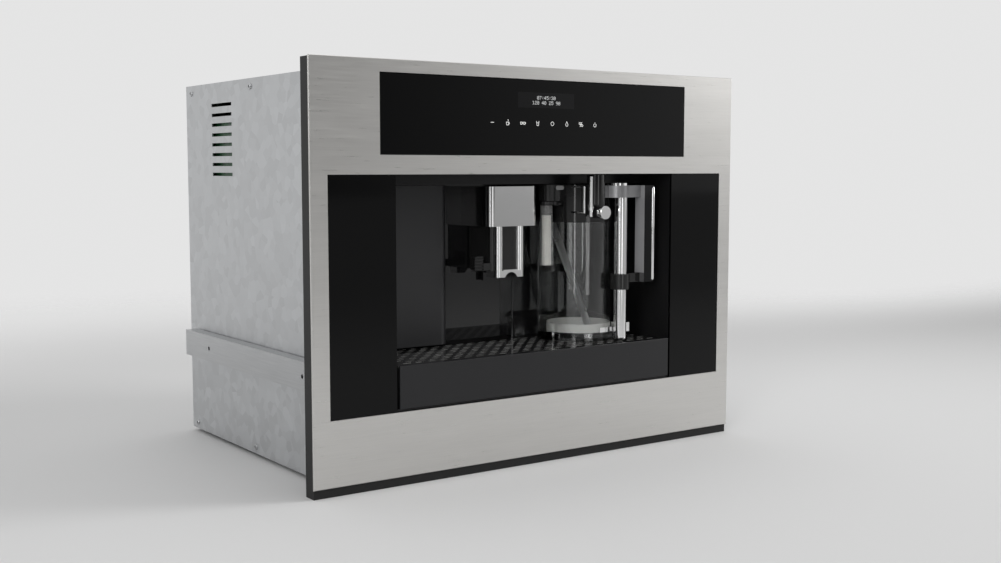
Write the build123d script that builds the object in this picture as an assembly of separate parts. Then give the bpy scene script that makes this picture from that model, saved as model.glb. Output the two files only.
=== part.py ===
from build123d import *
import os
from math import radians, sin, cos

# Built-in coffee machine. Millimetres, +Z up, +X to the user's right, the front faces -Y.
# The origin is the middle of the footprint, on the level of the feet.
# "Depth" counts from the front plane of the steel fascia into the cabinet.

# ---- whole appliance ----
OVERALL_DEPTH = 412.0
FASCIA_WIDTH = 595.0
FASCIA_HEIGHT = 445.0
TRIM_HEIGHT = 10.0
BODY_WIDTH = 528.0
BODY_BASE = 5.0
BODY_DROP = 10.0
SHEET = 1.5
SEAT_GAP = 0.3
RUNNING_GAP = 0.05
CUT_OVER = 1.0

# ---- fascia ----
STEEL_THICKNESS = 2.0
STEEL_BEVEL = 0.6
CARRIER_DEPTH = 18.0
CARRIER_INSET = 1.0
CARRIER_WEB = 4.0
CARRIER_RIM = 3.0
GLASS_GAP = 0.4
CONTROL_SIDE_MARGIN = 82.0
CONTROL_HEIGHT = 85.0
CONTROL_TOP_MARGIN = 14.2
CONTROL_GLASS_THICKNESS = 3.4
CONTROL_GLASS_SET = 0.3
OPENING_SIDE_MARGIN = 20.0
OPENING_BOTTOM = 80.8
OPENING_DROP = 20.9
SIDE_GLASS_THICKNESS = 3.0
SIDE_GLASS_SET = 1.0
BOARD_WIDTH = 350.0
BOARD_HEIGHT = 72.0
BOARD_THICKNESS = 1.6
DISPLAY_WIDTH = 88.0
DISPLAY_HEIGHT = 25.0
DISPLAY_X = 2.0
DISPLAY_BELOW_GLASS_TOP = 22.8
KEY_COUNT = 8
KEY_PITCH = 20.95
KEY_RADIUS = 6.0
KEY_BELOW_GLASS_TOP = 48.8
TRIM_SET = 2.5
TRIM_WALL = 2.0
VENT_COUNT = 24
VENT_WIDTH = 14.0
VENT_DEPTH = 5.0
VENT_PITCH = 22.0

# ---- niche ----
NICHE_WIDTH = 393.0
LINER_WALL = 2.5
LINER_FRONT = 4.0
NICHE_FLOOR = 83.4
CEILING_RISE = 1.1
LINTEL_DEPTH = 58.0
LINTEL_DROP = 13.4
BACK_WALL_DEPTH = 120.0
BACK_WALL_THICKNESS = 3.0
BULKHEAD_DEPTH = 131.0
BULKHEAD_THICKNESS = 3.0

# ---- service door ----
DOOR_EDGE_X = 39.0
DOOR_GAP = 1.0
GROOVE_CHAMFER = 1.2
DOOR_LUG_GAP = 0.4
DOOR_SKIN = 3.0
DOOR_RIM_DEPTH = 7.0
DOOR_RIM_WALL = 2.5
DOOR_EDGE_LIP = 11.0
COVER_FRONT = 97.0
COVER_LEFT_GAP = 1.0
COVER_RIGHT_X = -68.0
COVER_WALL = 2.5
COVER_RADIUS = 12.0
HINGE_EDGE_RADIUS = 3.0
HINGE_SET = 3.5
HINGE_PIN_RADIUS = 1.6
HINGE_PIN_REACH = 8.0
HINGE_BOSS_HEIGHT = 12.0
LUG_THICKNESS = 2.2
LUG_LIFT = 0.7
HOUSING_HALF_WIDTH = 36.0
HOUSING_FRONT = 60.0
HOUSING_DROP = 1.6
HOUSING_HEIGHT = 47.0
HOUSING_WALL = 2.5
HOUSING_RADIUS = 8.0
GUIDE_HEAD_HALF = 9.0
GUIDE_NECK_HALF = 6.0
GUIDE_HEAD_DEPTH = 4.0
GUIDE_NECK_DEPTH = 4.0
GUIDE_REACH = 15.0

# ---- spout ----
NOZZLE_LIP = 8.0
NOZZLE_BRIDGE = 9.0
NOZZLE_FRONT = 66.0
LEG_DEPTH = 6.0
LEG_WIDTH = 11.0
NOZZLE_HALF_WIDTH = 21.0
NOZZLE_FOOT_DEPTH = 22.0
ARCH_RADIUS = 9.5
ARCH_DROP = 3.5
OUTLET_RADIUS = 2.2
CORE_HALF_WIDTH = 26.0
CORE_DROP = 53.0
CORE_HEIGHT = 56.0
CORE_RADIUS = 4.0
GRIP_WIDTH = 22.0
GRIP_RIDGED = 12.0
GRIP_DEPTH = 9.0
GRIP_HEIGHT = 17.0
GRIP_RIDGES = 5
GRIP_RIDGE = 1.2

# ---- drip tray ----
TRAY_SIDE_GAP = 3.0
TRAY_FRONT_THICKNESS = 3.0
TRAY_LIFT = 0.6
TRAY_BACK = 117.0
TRAY_WALL = 2.0
TRAY_RADIUS = 4.0
DRAIN_LEFT = 150.0
DRAIN_RIGHT = 178.0
DRAIN_FRONT = 97.0
DRAIN_BACK = 109.0
DRAIN_RIM = 3.0
GRILLE_TOP = 130.5
GRILLE_THICKNESS = 2.5
SLOT_LENGTH = 9.5
SLOT_WIDTH = 3.4
SLOT_PITCH = 16.0
SLOT_ROW_PITCH = 9.0
GRILLE_MARGIN = 8.0
FLOAT_X = 172.0
FLOAT_DEPTH = 60.0
FLOAT_RADIUS = 9.0
FLOAT_HEIGHT = 12.0
FLOAT_STEM_RADIUS = 4.0
FLOAT_SINK = 0.7

# ---- milk jug ----
JUG_X = 107.0
JUG_DEPTH = 71.0
JUG_RADIUS = 42.0
LIP_X = 72.0
LIP_DEPTH = 84.0
LIP_RADIUS = 16.0
JUG_WALL = 2.0
JUG_FLOOR = 10.0
JUG_LIFT = 0.5
JUG_RIM_DROP = 60.0
BAND_HEIGHT = 10.5
BAND_WALL = 1.5
LID_HEIGHT = 45.5
LID_OVERHANG = 0.5
LID_FLANGE = 5.0
ARM_LEFT_X = 41.0
ARM_HALF_DEPTH = 10.0
ARM_THICKNESS = 19.2
TOWER_X = 96.0
TOWER_DEPTH = 25.0
TOWER_RADIUS = 11.0
TOWER_DROP = 23.5
TOWER_RISE = 12.0
KNOB_DROP = 9.4
KNOB_FRONT = 6.0
KNOB_FACE = 3.5
KNOB_RADIUS = 8.0
KNOB_NECK_RADIUS = 6.3
KNOB_NECK = 6.5
KNOB_BOSS_RADIUS = 7.0
KNOB_PIN_RADIUS = 2.0
KNOB_PIN = 10.0
PIPE_X = 85.0
PIPE_DEPTH = 21.0
PIPE_RADIUS = 2.6
PIPE_DROP = 5.6
THIN_PIPE_X = 74.7
THIN_PIPE_RADIUS = 1.2
COLLAR_RADIUS = 3.6
COLLAR_HEIGHT = 3.0
COLLAR_RISE = 9.0
SUCTION_RADIUS = 4.5
SUCTION_TOP_PLACE = (72.0, 80.0)
SUCTION_FOOT_PLACE = (124.0, 74.0)
SUCTION_FOOT_RISE = 6.0
SUCTION_SPARE = 0.1
SPOUT_X = 48.0
SPOUT_DEPTH = 60.0
SPOUT_PIVOT_X = 64.0
SPOUT_LENGTH = 72.5
SPOUT_LINK_GAP = 0.3
SPOUT_TOP_RADIUS = 7.5
SPOUT_TIP_RADIUS = 8.6
SPOUT_BORE = 4.0
SPOUT_LINK = 5.0
SPOUT_PIN_RADIUS = 3.0
SPOUT_PIN = 9.0
SPOUT_SWING_GAP = 0.8
POST_X = 132.0
POST_DEPTH = 21.0
POST_RADIUS = 8.0
POST_DROP = 15.5
POST_ROUND = 4.0
CLIP_HEIGHT = 11.0
CLIP_REACH = 7.3
CLIP_LINK_HEIGHT = 6.0
GRIP_LEFT_X = 160.0
GRIP_RIGHT_X = 178.0
GRIP_FRONT = 9.0
GRIP_THICKNESS = 17.0
GRIP_HEIGHT_OVERALL = 118.5
GRIP_DROP = 1.0
GRIP_ROUND = 4.0
BRACKET_FRONT = 16.0
SOCKET_DROP = 8.0
SOCKET_HEIGHT = 19.0
SOCKET_WALL = 3.5
CAP_RADIUS = 13.0
CAP_HEIGHT = 3.0
CAP_X = 127.0
CAP_DEPTH = 22.0

# ---- chassis ----
FLANGE = 12.0
FOOT_RADIUS = 12.0
FOOT_INSET = 40.0
SHELF_TOP = 140.0
SHELF_THICKNESS = 3.0
SHELF_BACK_GAP = 17.0
LEG_WINDOW_MARGIN = 25.0
SIDE_VENTS = 8
SIDE_VENT_LENGTH = 60.0
SIDE_VENT_WIDTH = 4.0
SIDE_VENT_PITCH = 12.0
SIDE_VENT_DROP = 25.0
SIDE_VENT_BACK_GAP = 82.0
REAR_VENTS = 9
REAR_VENT_LENGTH = 50.0
REAR_VENT_X = 20.0
REAR_VENT_DROP = 45.0
SCREW_RADIUS = 3.5
SCREW_HEAD = 1.2

# ---- runners ----
RAIL_FRONT = 40.0
RAIL_BACK_GAP = 22.0
RAIL_Z = 120.0
RAIL_SHEET = 1.2
INNER_RAIL_HALF = 13.0
INNER_RAIL_DEPTH = 8.0
MIDDLE_RAIL_DEPTH = 7.5
RAIL_STACK = 16.0
RAIL_HOLE_FRONT = 59.0
RAIL_HOLE_SPACING = 256.0
RAIL_HOLE_RADIUS = 2.5

# ---- grinder and hopper ----
GRINDER_X = -22.0
GRINDER_BACK_GAP = 72.0
GRINDER_SHARE = 1 / 6
MOTOR_STEP = 12.0
MOTOR_FOOT_STEP = 2.0
MOTOR_FOOT = 6.0
MOTOR_TOP = 285.0
GRINDER_TOP = 372.0
GRINDER_FLOOR = 14.0
GRINDER_WALL = 9.0
RING_BURR_HEIGHT = 26.0
RING_BURR_WALL = 9.0
BURR_GAP = 2.0
BURR_TOP_RADIUS = 12.0
BURR_HEIGHT = 36.0
BURR_LIFT = 3.0
BURR_TEETH = 12
BURR_TOOTH = 3.0
SHAFT_RADIUS = 4.0
HOPPER_LEFT = -140.0
HOPPER_RIGHT = 96.0
HOPPER_FRONT = 232.0
HOPPER_BACK_GAP = 22.0
HOPPER_WALL = 2.0
HOPPER_MOUTH_DEPTH = 12.0
THROAT_HALF = 24.0
THROAT_BOTTOM = 385.0
LID_SHEET = 3.0
LID_LIFT = 0.3
LID_MARGIN = 5.0
BARREL_RADIUS = 2.4
BARREL_PIN_RADIUS = 1.2
BARREL_PIN = 8.0
DIAL_X = -110.0
DIAL_DEPTH = 190.0
DIAL_RADIUS = 18.0
DIAL_HEIGHT = 6.0
DIAL_FLUTES = 16
DIAL_FLUTE = 1.6
DIAL_SHAFT = 14.0
CHUTE_DEPTH = 158.0
CHUTE_HALF = 17.0
CHUTE_HALF_DEPTH = 12.0
CHUTE_WALL = 2.0
DUCT_BOTTOM = 326.0
DUCT_HEIGHT = 16.0

# ---- brew unit ----
BREW_X = -22.0
BREW_DEPTH = 188.0
BREW_HALF_WIDTH = 48.0
BREW_FRONT = 142.0
BREW_BACK = 236.0
BREW_PLATE = 4.0
BREW_TOP = 318.0
CHAMBER_OUTER = 27.0
CHAMBER_INNER = 23.0
CHAMBER_BOTTOM = 196.0
CHAMBER_HEIGHT = 54.0
PISTON_HEIGHT = 24.0
SCREW_OFFSET = 36.0
LEAD_SCREW_RADIUS = 4.0
NUT_RADIUS = 9.0
NUT_HEIGHT = 24.0
GEARBOX_HALF = 26.0
GEARBOX_HEIGHT = 50.0

# ---- grounds container, tank and water parts ----
BIN_LEFT = -186.0
BIN_RIGHT = -84.0
BIN_FRONT = 141.0
BIN_BACK = 262.0
BIN_TOP = 245.0
BIN_WALL = 2.2
BIN_RADIUS = 10.0
TANK_LEFT = 206.0
TANK_RIGHT = 256.0
TANK_FRONT = 150.0
TANK_BACK_GAP = 42.0
TANK_BOTTOM = 190.0
TANK_DROP = 9.0
TANK_WALL = 2.2
TANK_RADIUS = 12.0
TANK_LID_SHEET = 2.5
TANK_LID_PIN = 5.0
CRADLE_GAP = 0.6
CRADLE_WALL = 2.0
CRADLE_FLOOR = 4.0
CRADLE_LIP = 12.0
VALVE_RADIUS = 6.0
VALVE_HEIGHT = 8.0
PUMP_X = 95.0
PUMP_Z = 62.0
PUMP_RADIUS = 22.0
PUMP_FRONT = 170.0
PUMP_HOSE_RUN = 32.0
MOUNT_LENGTH = 14.0
HEATER_LEFT = 70.0
HEATER_WIDTH = 84.0
HEATER_SHARE = 0.3
HEATER_BACK_GAP = 27.0
HEATER_HEIGHT = 44.0
HEATER_LEG = 8.0
COFFEE_HEATER_FRONT = 168.0
FIN_COUNT = 5
FIN_HEIGHT = 5.0
HOSE_RADIUS = 3.0
HOSE_BEND = 11.0
RISER_DEPTH = 143.0
OUTLET_DROP = 21.5
OUTLET_NOZZLE_RADIUS = 5.0
OUTLET_REACH = 12.0
OUTLET_FLANGE_RADIUS = 10.0

# ---- electrics ----
POWER_BOARD_FRONT = 150.0
POWER_BOARD_BACK_GAP = 32.0
POWER_BOARD_BOTTOM = 170.0
POWER_BOARD_DROP = 45.0
STANDOFF = 6.0
STANDOFF_RADIUS = 3.0
TRANSFORMER = (36.0, 60.0, 48.0)
RELAY_COUNT = 5
RELAY = (18.0, 12.0, 18.0)
RELAY_PITCH = 18.0
INLET_X = -215.0
INLET_Z = 62.0
INLET_WIDTH = 28.0
INLET_HEIGHT = 21.0
INLET_DEPTH = 24.0
CONTACT_PITCH = 4.7
CONTACT_HALF = 1.0
ROCKER_X = -172.0
ROCKER_HALF_WIDTH = 7.0
ROCKER_RADIUS = 13.0
ROCKER_BACK = 1.0
BEZEL_WALL = 3.0
BEZEL_DEPTH = 16.0
ROCKER_BEZEL_DEPTH = 24.0
ROCKER_PIN_RADIUS = 1.5
ROCKER_PIN = 2.4

# ---- places worked out from the sizes above ----
FRONT_Y = -OVERALL_DEPTH / 2
FASCIA_BOTTOM = TRIM_HEIGHT
FASCIA_TOP = TRIM_HEIGHT + FASCIA_HEIGHT
FASCIA_BACK = STEEL_THICKNESS + CARRIER_DEPTH
WEB_BACK = STEEL_THICKNESS + CARRIER_WEB
CARRIER_HALF = FASCIA_WIDTH / 2 - CARRIER_INSET
CONTROL_HALF = FASCIA_WIDTH / 2 - CONTROL_SIDE_MARGIN
CONTROL_TOP = FASCIA_TOP - CONTROL_TOP_MARGIN
CONTROL_BOTTOM = CONTROL_TOP - CONTROL_HEIGHT
CONTROL_BACK = CONTROL_GLASS_SET + CONTROL_GLASS_THICKNESS
OPENING_HALF = FASCIA_WIDTH / 2 - OPENING_SIDE_MARGIN
OPENING_TOP = CONTROL_BOTTOM - OPENING_DROP
SIDE_GLASS_BACK = SIDE_GLASS_SET + SIDE_GLASS_THICKNESS
BODY_HALF = BODY_WIDTH / 2
BODY_INNER = BODY_HALF - SHEET
BODY_BACK = OVERALL_DEPTH - SHEET
BODY_TOP = FASCIA_TOP - BODY_DROP
PAN_TOP = BODY_BASE + SHEET
PANEL_TOP = BODY_TOP - SHEET

# niche and service door
NICHE_HALF = NICHE_WIDTH / 2
CEILING_FRONT = OPENING_TOP + CEILING_RISE
LINTEL_BOTTOM = CEILING_FRONT - LINTEL_DROP
LINER_HALF = NICHE_HALF + LINER_WALL
LINER_BOTTOM = NICHE_FLOOR - LINER_WALL
LINER_TOP = CEILING_FRONT + LINER_WALL
BULKHEAD_BACK = BULKHEAD_DEPTH + BULKHEAD_THICKNESS
LUG_BOTTOM = GRILLE_TOP + LUG_LIFT
DOOR_BOTTOM = LUG_BOTTOM + LUG_THICKNESS + DOOR_LUG_GAP
DOOR_TOP = LINTEL_BOTTOM - DOOR_GAP
DOOR_FACE = BACK_WALL_DEPTH
DOOR_BACK = DOOR_FACE + DOOR_SKIN
DOOR_RIM_BACK = DOOR_BACK + DOOR_RIM_DEPTH
COVER_LEFT = -NICHE_HALF + COVER_LEFT_GAP
HINGE_X = COVER_LEFT + HINGE_EDGE_RADIUS
HINGE_DEPTH = COVER_FRONT + HINGE_SET
HOUSING_TOP = DOOR_TOP - HOUSING_DROP
HOUSING_BOTTOM = HOUSING_TOP - HOUSING_HEIGHT
CORE_FRONT = NOZZLE_FRONT + LEG_DEPTH
CORE_BOTTOM = HOUSING_BOTTOM - CORE_DROP
CORE_TOP = CORE_BOTTOM + CORE_HEIGHT
NOZZLE_BOTTOM = CORE_BOTTOM - NOZZLE_LIP
GUIDE_FRONT = DOOR_FACE - GUIDE_HEAD_DEPTH - GUIDE_NECK_DEPTH
GUIDE_BOTTOM = CORE_BOTTOM - GUIDE_REACH

# drip tray and milk jug
TRAY_HALF = NICHE_HALF - TRAY_SIDE_GAP
TRAY_BOTTOM = NICHE_FLOOR + TRAY_LIFT
TRAY_FLOOR = TRAY_BOTTOM + TRAY_WALL
TRAY_RIM = GRILLE_TOP - GRILLE_THICKNESS
JUG_BOTTOM = GRILLE_TOP + JUG_LIFT
JUG_FLOOR_Z = JUG_BOTTOM + JUG_FLOOR
JUG_RIM = CEILING_FRONT - JUG_RIM_DROP
LID_RADIUS = JUG_RADIUS + LID_OVERHANG
LID_TOP = JUG_RIM + LID_HEIGHT
ARM_BOTTOM = LID_TOP - ARM_THICKNESS
TOWER_TOP = LID_TOP + TOWER_RISE
TOWER_BOTTOM = LID_TOP - TOWER_DROP
KNOB_Z = TOWER_BOTTOM - KNOB_DROP
KNOB_BOSS_FRONT = KNOB_FRONT + KNOB_FACE + KNOB_NECK + SEAT_GAP
PIPE_BOTTOM = KNOB_Z - PIPE_DROP
COLLAR_Z = PIPE_BOTTOM + COLLAR_RISE
SPOUT_TOP_Z = ARM_BOTTOM - SPOUT_LINK - SPOUT_LINK_GAP
SPOUT_TIP_Z = SPOUT_TOP_Z - SPOUT_LENGTH
POST_TOP = LID_TOP - POST_DROP
GRIP_TOP = LID_TOP - GRIP_DROP
GRIP_BOTTOM = GRIP_TOP - GRIP_HEIGHT_OVERALL
SOCKET_BOTTOM = GRIP_BOTTOM - SOCKET_DROP
SOCKET_TOP = SOCKET_BOTTOM + SOCKET_HEIGHT
OUTLET_Z = LID_TOP - OUTLET_DROP

# chassis and runners
SHELF_BOTTOM = SHELF_TOP - SHELF_THICKNESS
SHELF_BACK = OVERALL_DEPTH - SHELF_BACK_GAP
SIDE_VENT_TOP = BODY_TOP - SIDE_VENT_DROP
SIDE_VENT_BACK = OVERALL_DEPTH - SIDE_VENT_BACK_GAP
REAR_VENT_TOP = BODY_TOP - REAR_VENT_DROP
LID_BOTTOM = BODY_TOP + LID_LIFT
RAIL_BACK = OVERALL_DEPTH - RAIL_BACK_GAP
MIDDLE_HALF = INNER_RAIL_HALF + SEAT_GAP + RAIL_SHEET
OUTER_HALF = MIDDLE_HALF + SEAT_GAP + RAIL_SHEET
OUTER_FACE = BODY_HALF + RAIL_STACK

# grinder, hopper, chute and brew unit
HOPPER_BACK = OVERALL_DEPTH - HOPPER_BACK_GAP
GRINDER_DEPTH = HOPPER_BACK - GRINDER_BACK_GAP
GRINDER_RADIUS = (BODY_BACK - BULKHEAD_BACK) * GRINDER_SHARE
CHAMBER_RADIUS = GRINDER_RADIUS - GRINDER_WALL
MOTOR_RADIUS = GRINDER_RADIUS - MOTOR_STEP
MOTOR_FOOT_RADIUS = GRINDER_RADIUS - MOTOR_FOOT_STEP
GRINDER_SEAT = MOTOR_TOP + GRINDER_FLOOR
RING_BURR_INNER = CHAMBER_RADIUS - RING_BURR_WALL
BURR_RADIUS = RING_BURR_INNER - BURR_GAP
BURR_BOTTOM = GRINDER_SEAT + BURR_LIFT
RING_BURR_BOTTOM = BURR_BOTTOM + BURR_LIFT
CHUTE_FRONT = CHUTE_DEPTH - CHUTE_HALF_DEPTH
CHUTE_BACK = CHUTE_DEPTH + CHUTE_HALF_DEPTH
CHUTE_LEFT = BREW_X - CHUTE_HALF
CHUTE_RIGHT = BREW_X + CHUTE_HALF
SCREW_DEPTH = BREW_DEPTH + SCREW_OFFSET

# water parts and electrics
BIN_BOTTOM = SHELF_TOP
TANK_BACK = OVERALL_DEPTH - TANK_BACK_GAP
TANK_TOP = BODY_TOP - TANK_DROP
TANK_MID_X = (TANK_LEFT + TANK_RIGHT) / 2
TANK_LID_INSET = TANK_RADIUS + LID_MARGIN + SEAT_GAP
TANK_LID_SPAN = (TANK_LEFT + TANK_LID_INSET, TANK_RIGHT - TANK_LID_INSET)
TANK_LID_AXIS = (TANK_BACK - BARREL_RADIUS, TANK_TOP + BARREL_RADIUS)
CRADLE_TOP = TANK_BOTTOM - CRADLE_GAP
VALVE_DEPTH = TANK_BACK - 2 * TANK_RADIUS
PUMP_BACK = VALVE_DEPTH - PUMP_HOSE_RUN - MOUNT_LENGTH
HEATER_DEPTH = (SHELF_BACK - BULKHEAD_BACK) * HEATER_SHARE
HEATER_BOTTOM = SHELF_TOP + HEATER_LEG
HEATER_RIGHT = HEATER_LEFT + HEATER_WIDTH
HEATER_TOP = HEATER_BOTTOM + HEATER_HEIGHT
STEAM_HEATER_FRONT = SHELF_BACK - HEATER_BACK_GAP - HEATER_DEPTH
POWER_BOARD_BACK = OVERALL_DEPTH - POWER_BOARD_BACK_GAP
POWER_BOARD_TOP = BODY_TOP - POWER_BOARD_DROP
ROCKER_PIVOT = OVERALL_DEPTH - ROCKER_BACK - ROCKER_RADIUS


# ---- small helpers ----
def box(x, depth, z):
    """Block between pairs of limits across X, depth and Z."""
    size = (x[1] - x[0], depth[1] - depth[0], z[1] - z[0])
    return Pos(x[0], FRONT_Y + depth[0], z[0]) * Box(*size, align=(Align.MIN,) * 3)


def rounded(x, depth, z, radius, along=Axis.Z):
    """Block with its four edges along one axis rounded."""
    block = box(x, depth, z)
    return fillet(block.edges().filter_by(along), radius)


def rod(start, radius, length, along="z", tip=None):
    """Round bar from a start (x, depth, z); a tip radius makes it a cone."""
    turn = {"x": Rot(0, 90, 0), "y": Rot(-90, 0, 0), "z": Rot(0, 0, 0)}[along]
    align = (Align.CENTER, Align.CENTER, Align.MIN)
    if tip is None:
        bar = Cylinder(radius, length, align=align)
    else:
        bar = Cone(radius, tip, length, align=align)
    return Pos(start[0], FRONT_Y + start[1], start[2]) * turn * bar


def tub(x, depth, z, radius, wall, floor):
    """Open-topped vessel with rounded corners."""
    inside_x = (x[0] + wall, x[1] - wall)
    inside_depth = (depth[0] + wall, depth[1] - wall)
    inside_z = (z[0] + floor, z[1] + CUT_OVER)
    inner = rounded(inside_x, inside_depth, inside_z, radius - wall)
    return rounded(x, depth, z, radius) - inner


def ring(start, outer, inner, length, along="z"):
    """Round tube from a start (x, depth, z)."""
    return rod(start, outer, length, along) - rod(start, inner, length, along)


def hose(points, radius, bend):
    """Bent round hose through (x, depth, z) points, corners as arcs."""
    places = [(x, FRONT_Y + depth, z) for x, depth, z in points]
    path = FilletPolyline(*places, radius=bend)
    section = Plane(origin=path @ 0, z_dir=path % 0) * Circle(radius)
    return sweep(section, path)


def mirrored(shape):
    """The same shape on the other side of the middle plane."""
    return mirror(shape, Plane.YZ)


def group(*shapes):
    """Separate solids that share one node."""
    return Compound(children=[solid for shape in shapes for solid in shape.solids()])


# ---- fascia ----
def steel_fascia():
    half = FASCIA_WIDTH / 2
    plate = box((-half, half), (0, STEEL_THICKNESS), (FASCIA_BOTTOM, FASCIA_TOP))
    plate = chamfer(plate.faces().sort_by(Axis.Y)[0].edges(), STEEL_BEVEL)
    through = (-CUT_OVER, STEEL_THICKNESS + CUT_OVER)
    window = CONTROL_HALF + GLASS_GAP
    plate -= box((-window, window), through, (CONTROL_BOTTOM - GLASS_GAP, CONTROL_TOP + GLASS_GAP))
    return plate - box((-OPENING_HALF, OPENING_HALF), through, (OPENING_BOTTOM, OPENING_TOP))


def fascia_carrier():
    half = CARRIER_HALF
    bottom = FASCIA_BOTTOM + CARRIER_INSET
    top = FASCIA_TOP - CARRIER_INSET
    body = box((-half, half), (STEEL_THICKNESS, FASCIA_BACK), (bottom, top))
    rim = CARRIER_RIM
    body -= box((-half + rim, half - rim), (WEB_BACK, FASCIA_BACK), (bottom + rim, top - rim))
    frame = LINER_HALF + rim
    body += box((-frame, frame), (WEB_BACK, FASCIA_BACK), (LINER_BOTTOM - rim, LINER_TOP + rim))
    through = (0, FASCIA_BACK + CUT_OVER)
    body -= box((-LINER_HALF, LINER_HALF), through, (LINER_BOTTOM, LINER_TOP))
    body -= box((-OPENING_HALF, OPENING_HALF), (0, SIDE_GLASS_BACK), (OPENING_BOTTOM, OPENING_TOP))
    pocket = CONTROL_HALF + GLASS_GAP
    limits = (CONTROL_BOTTOM - GLASS_GAP, CONTROL_TOP + GLASS_GAP)
    body -= box((-pocket, pocket), (0, CONTROL_BACK), limits)
    window = BOARD_WIDTH / 2 - rim
    middle = (CONTROL_BOTTOM + CONTROL_TOP) / 2
    half_window = BOARD_HEIGHT / 2 - rim
    return body - box((-window, window), through, (middle - half_window, middle + half_window))


def control_glass():
    limits = (CONTROL_BOTTOM, CONTROL_TOP)
    pane = box((-CONTROL_HALF, CONTROL_HALF), (CONTROL_GLASS_SET, CONTROL_BACK), limits)
    return chamfer(pane.faces().sort_by(Axis.Y)[0].edges(), GLASS_GAP)


def side_glass_panels():
    inner = NICHE_HALF + SEAT_GAP
    outer = OPENING_HALF - SEAT_GAP
    limits = (OPENING_BOTTOM + SEAT_GAP, OPENING_TOP - SEAT_GAP)
    right = box((inner, outer), (SIDE_GLASS_SET, SIDE_GLASS_BACK), limits)
    return group(right, mirrored(right))


def bottom_trim():
    half = CARRIER_HALF
    top = FASCIA_BOTTOM + CARRIER_INSET
    strip = box((-half, half), (TRIM_SET, FASCIA_BACK), (0, top))
    inside = (-half + TRIM_WALL, half - TRIM_WALL)
    strip -= box(inside, (TRIM_SET + TRIM_WALL, FASCIA_BACK + CUT_OVER), (-CUT_OVER, top - TRIM_WALL))
    vents = Sketch() + [place * SlotOverall(VENT_WIDTH, VENT_DEPTH)
                        for place in GridLocations(VENT_PITCH, 0, VENT_COUNT, 1)]
    middle = FRONT_Y + (TRIM_SET + TRIM_WALL + FASCIA_BACK) / 2
    return strip - Pos(0, middle, top - TRIM_WALL) * extrude(vents, amount=TRIM_WALL)


def control_board():
    middle = (CONTROL_BOTTOM + CONTROL_TOP) / 2
    half = BOARD_WIDTH / 2
    span = (middle - BOARD_HEIGHT / 2, middle + BOARD_HEIGHT / 2)
    board = box((-half, half), (WEB_BACK, WEB_BACK + BOARD_THICKNESS), span)
    key_z = CONTROL_TOP - KEY_BELOW_GLASS_TOP
    for index in range(KEY_COUNT):
        x = (index - (KEY_COUNT - 1) / 2) * KEY_PITCH
        board += rod((x, CONTROL_BACK, key_z), KEY_RADIUS, WEB_BACK - CONTROL_BACK, "y")
    return board


def display_module():
    half = DISPLAY_WIDTH / 2
    middle = CONTROL_TOP - DISPLAY_BELOW_GLASS_TOP
    span = (middle - DISPLAY_HEIGHT / 2, middle + DISPLAY_HEIGHT / 2)
    return box((DISPLAY_X - half, DISPLAY_X + half), (CONTROL_BACK, WEB_BACK), span)


# ---- niche ----
def niche_liner():
    half = LINER_HALF
    body = box((-half, half), (LINER_FRONT, BULKHEAD_DEPTH), (LINER_BOTTOM, LINER_TOP))
    low = LINTEL_BOTTOM + LINER_WALL
    behind = (LINTEL_DEPTH + LINER_WALL, BULKHEAD_DEPTH + CUT_OVER)
    body -= box((-half - CUT_OVER, half + CUT_OVER), behind, (low, LINER_TOP + CUT_OVER))
    inner = (-NICHE_HALF, NICHE_HALF)
    body -= box(inner, (0, BULKHEAD_DEPTH + CUT_OVER), (NICHE_FLOOR, LINTEL_BOTTOM))
    body -= box(inner, (0, LINTEL_DEPTH), (NICHE_FLOOR, CEILING_FRONT))
    lug = rounded((-NICHE_HALF, HINGE_X + HINGE_SET), (HINGE_DEPTH - HINGE_SET, HINGE_DEPTH + HINGE_SET),
                  (LUG_BOTTOM, LUG_BOTTOM + LUG_THICKNESS), COVER_LEFT_GAP)
    pins = rod((HINGE_X, HINGE_DEPTH, LUG_BOTTOM), HINGE_PIN_RADIUS, LINER_TOP - LUG_BOTTOM)
    return body + lug - pins


def door_hinge_pins():
    lower = rod((HINGE_X, HINGE_DEPTH, LUG_BOTTOM), HINGE_PIN_RADIUS,
                DOOR_BOTTOM + HINGE_PIN_REACH - LUG_BOTTOM)
    start = DOOR_TOP - HINGE_PIN_REACH
    upper = rod((HINGE_X, HINGE_DEPTH, start), HINGE_PIN_RADIUS, LINTEL_BOTTOM + LINER_WALL - start)
    return group(lower, upper)


def back_wall_panel():
    left = DOOR_EDGE_X + DOOR_GAP
    right = NICHE_HALF - SEAT_GAP
    bottom = GRILLE_TOP + SEAT_GAP
    top = LINTEL_BOTTOM - SEAT_GAP
    panel = box((left, right), (BACK_WALL_DEPTH, BULKHEAD_DEPTH), (bottom, top))
    edge = panel.edges().filter_by(Axis.Z).group_by(Axis.Y)[0].sort_by(Axis.X)[0]
    panel = chamfer(edge, GROOVE_CHAMFER)
    wall = BACK_WALL_THICKNESS
    hollow = (BACK_WALL_DEPTH + wall, BULKHEAD_DEPTH + CUT_OVER)
    panel -= box((left + wall, right - wall), hollow, (bottom + wall, top - wall))
    nozzle = rod((JUG_X, BACK_WALL_DEPTH, OUTLET_Z), OUTLET_NOZZLE_RADIUS, BACK_WALL_THICKNESS, "y")
    return panel - nozzle


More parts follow.
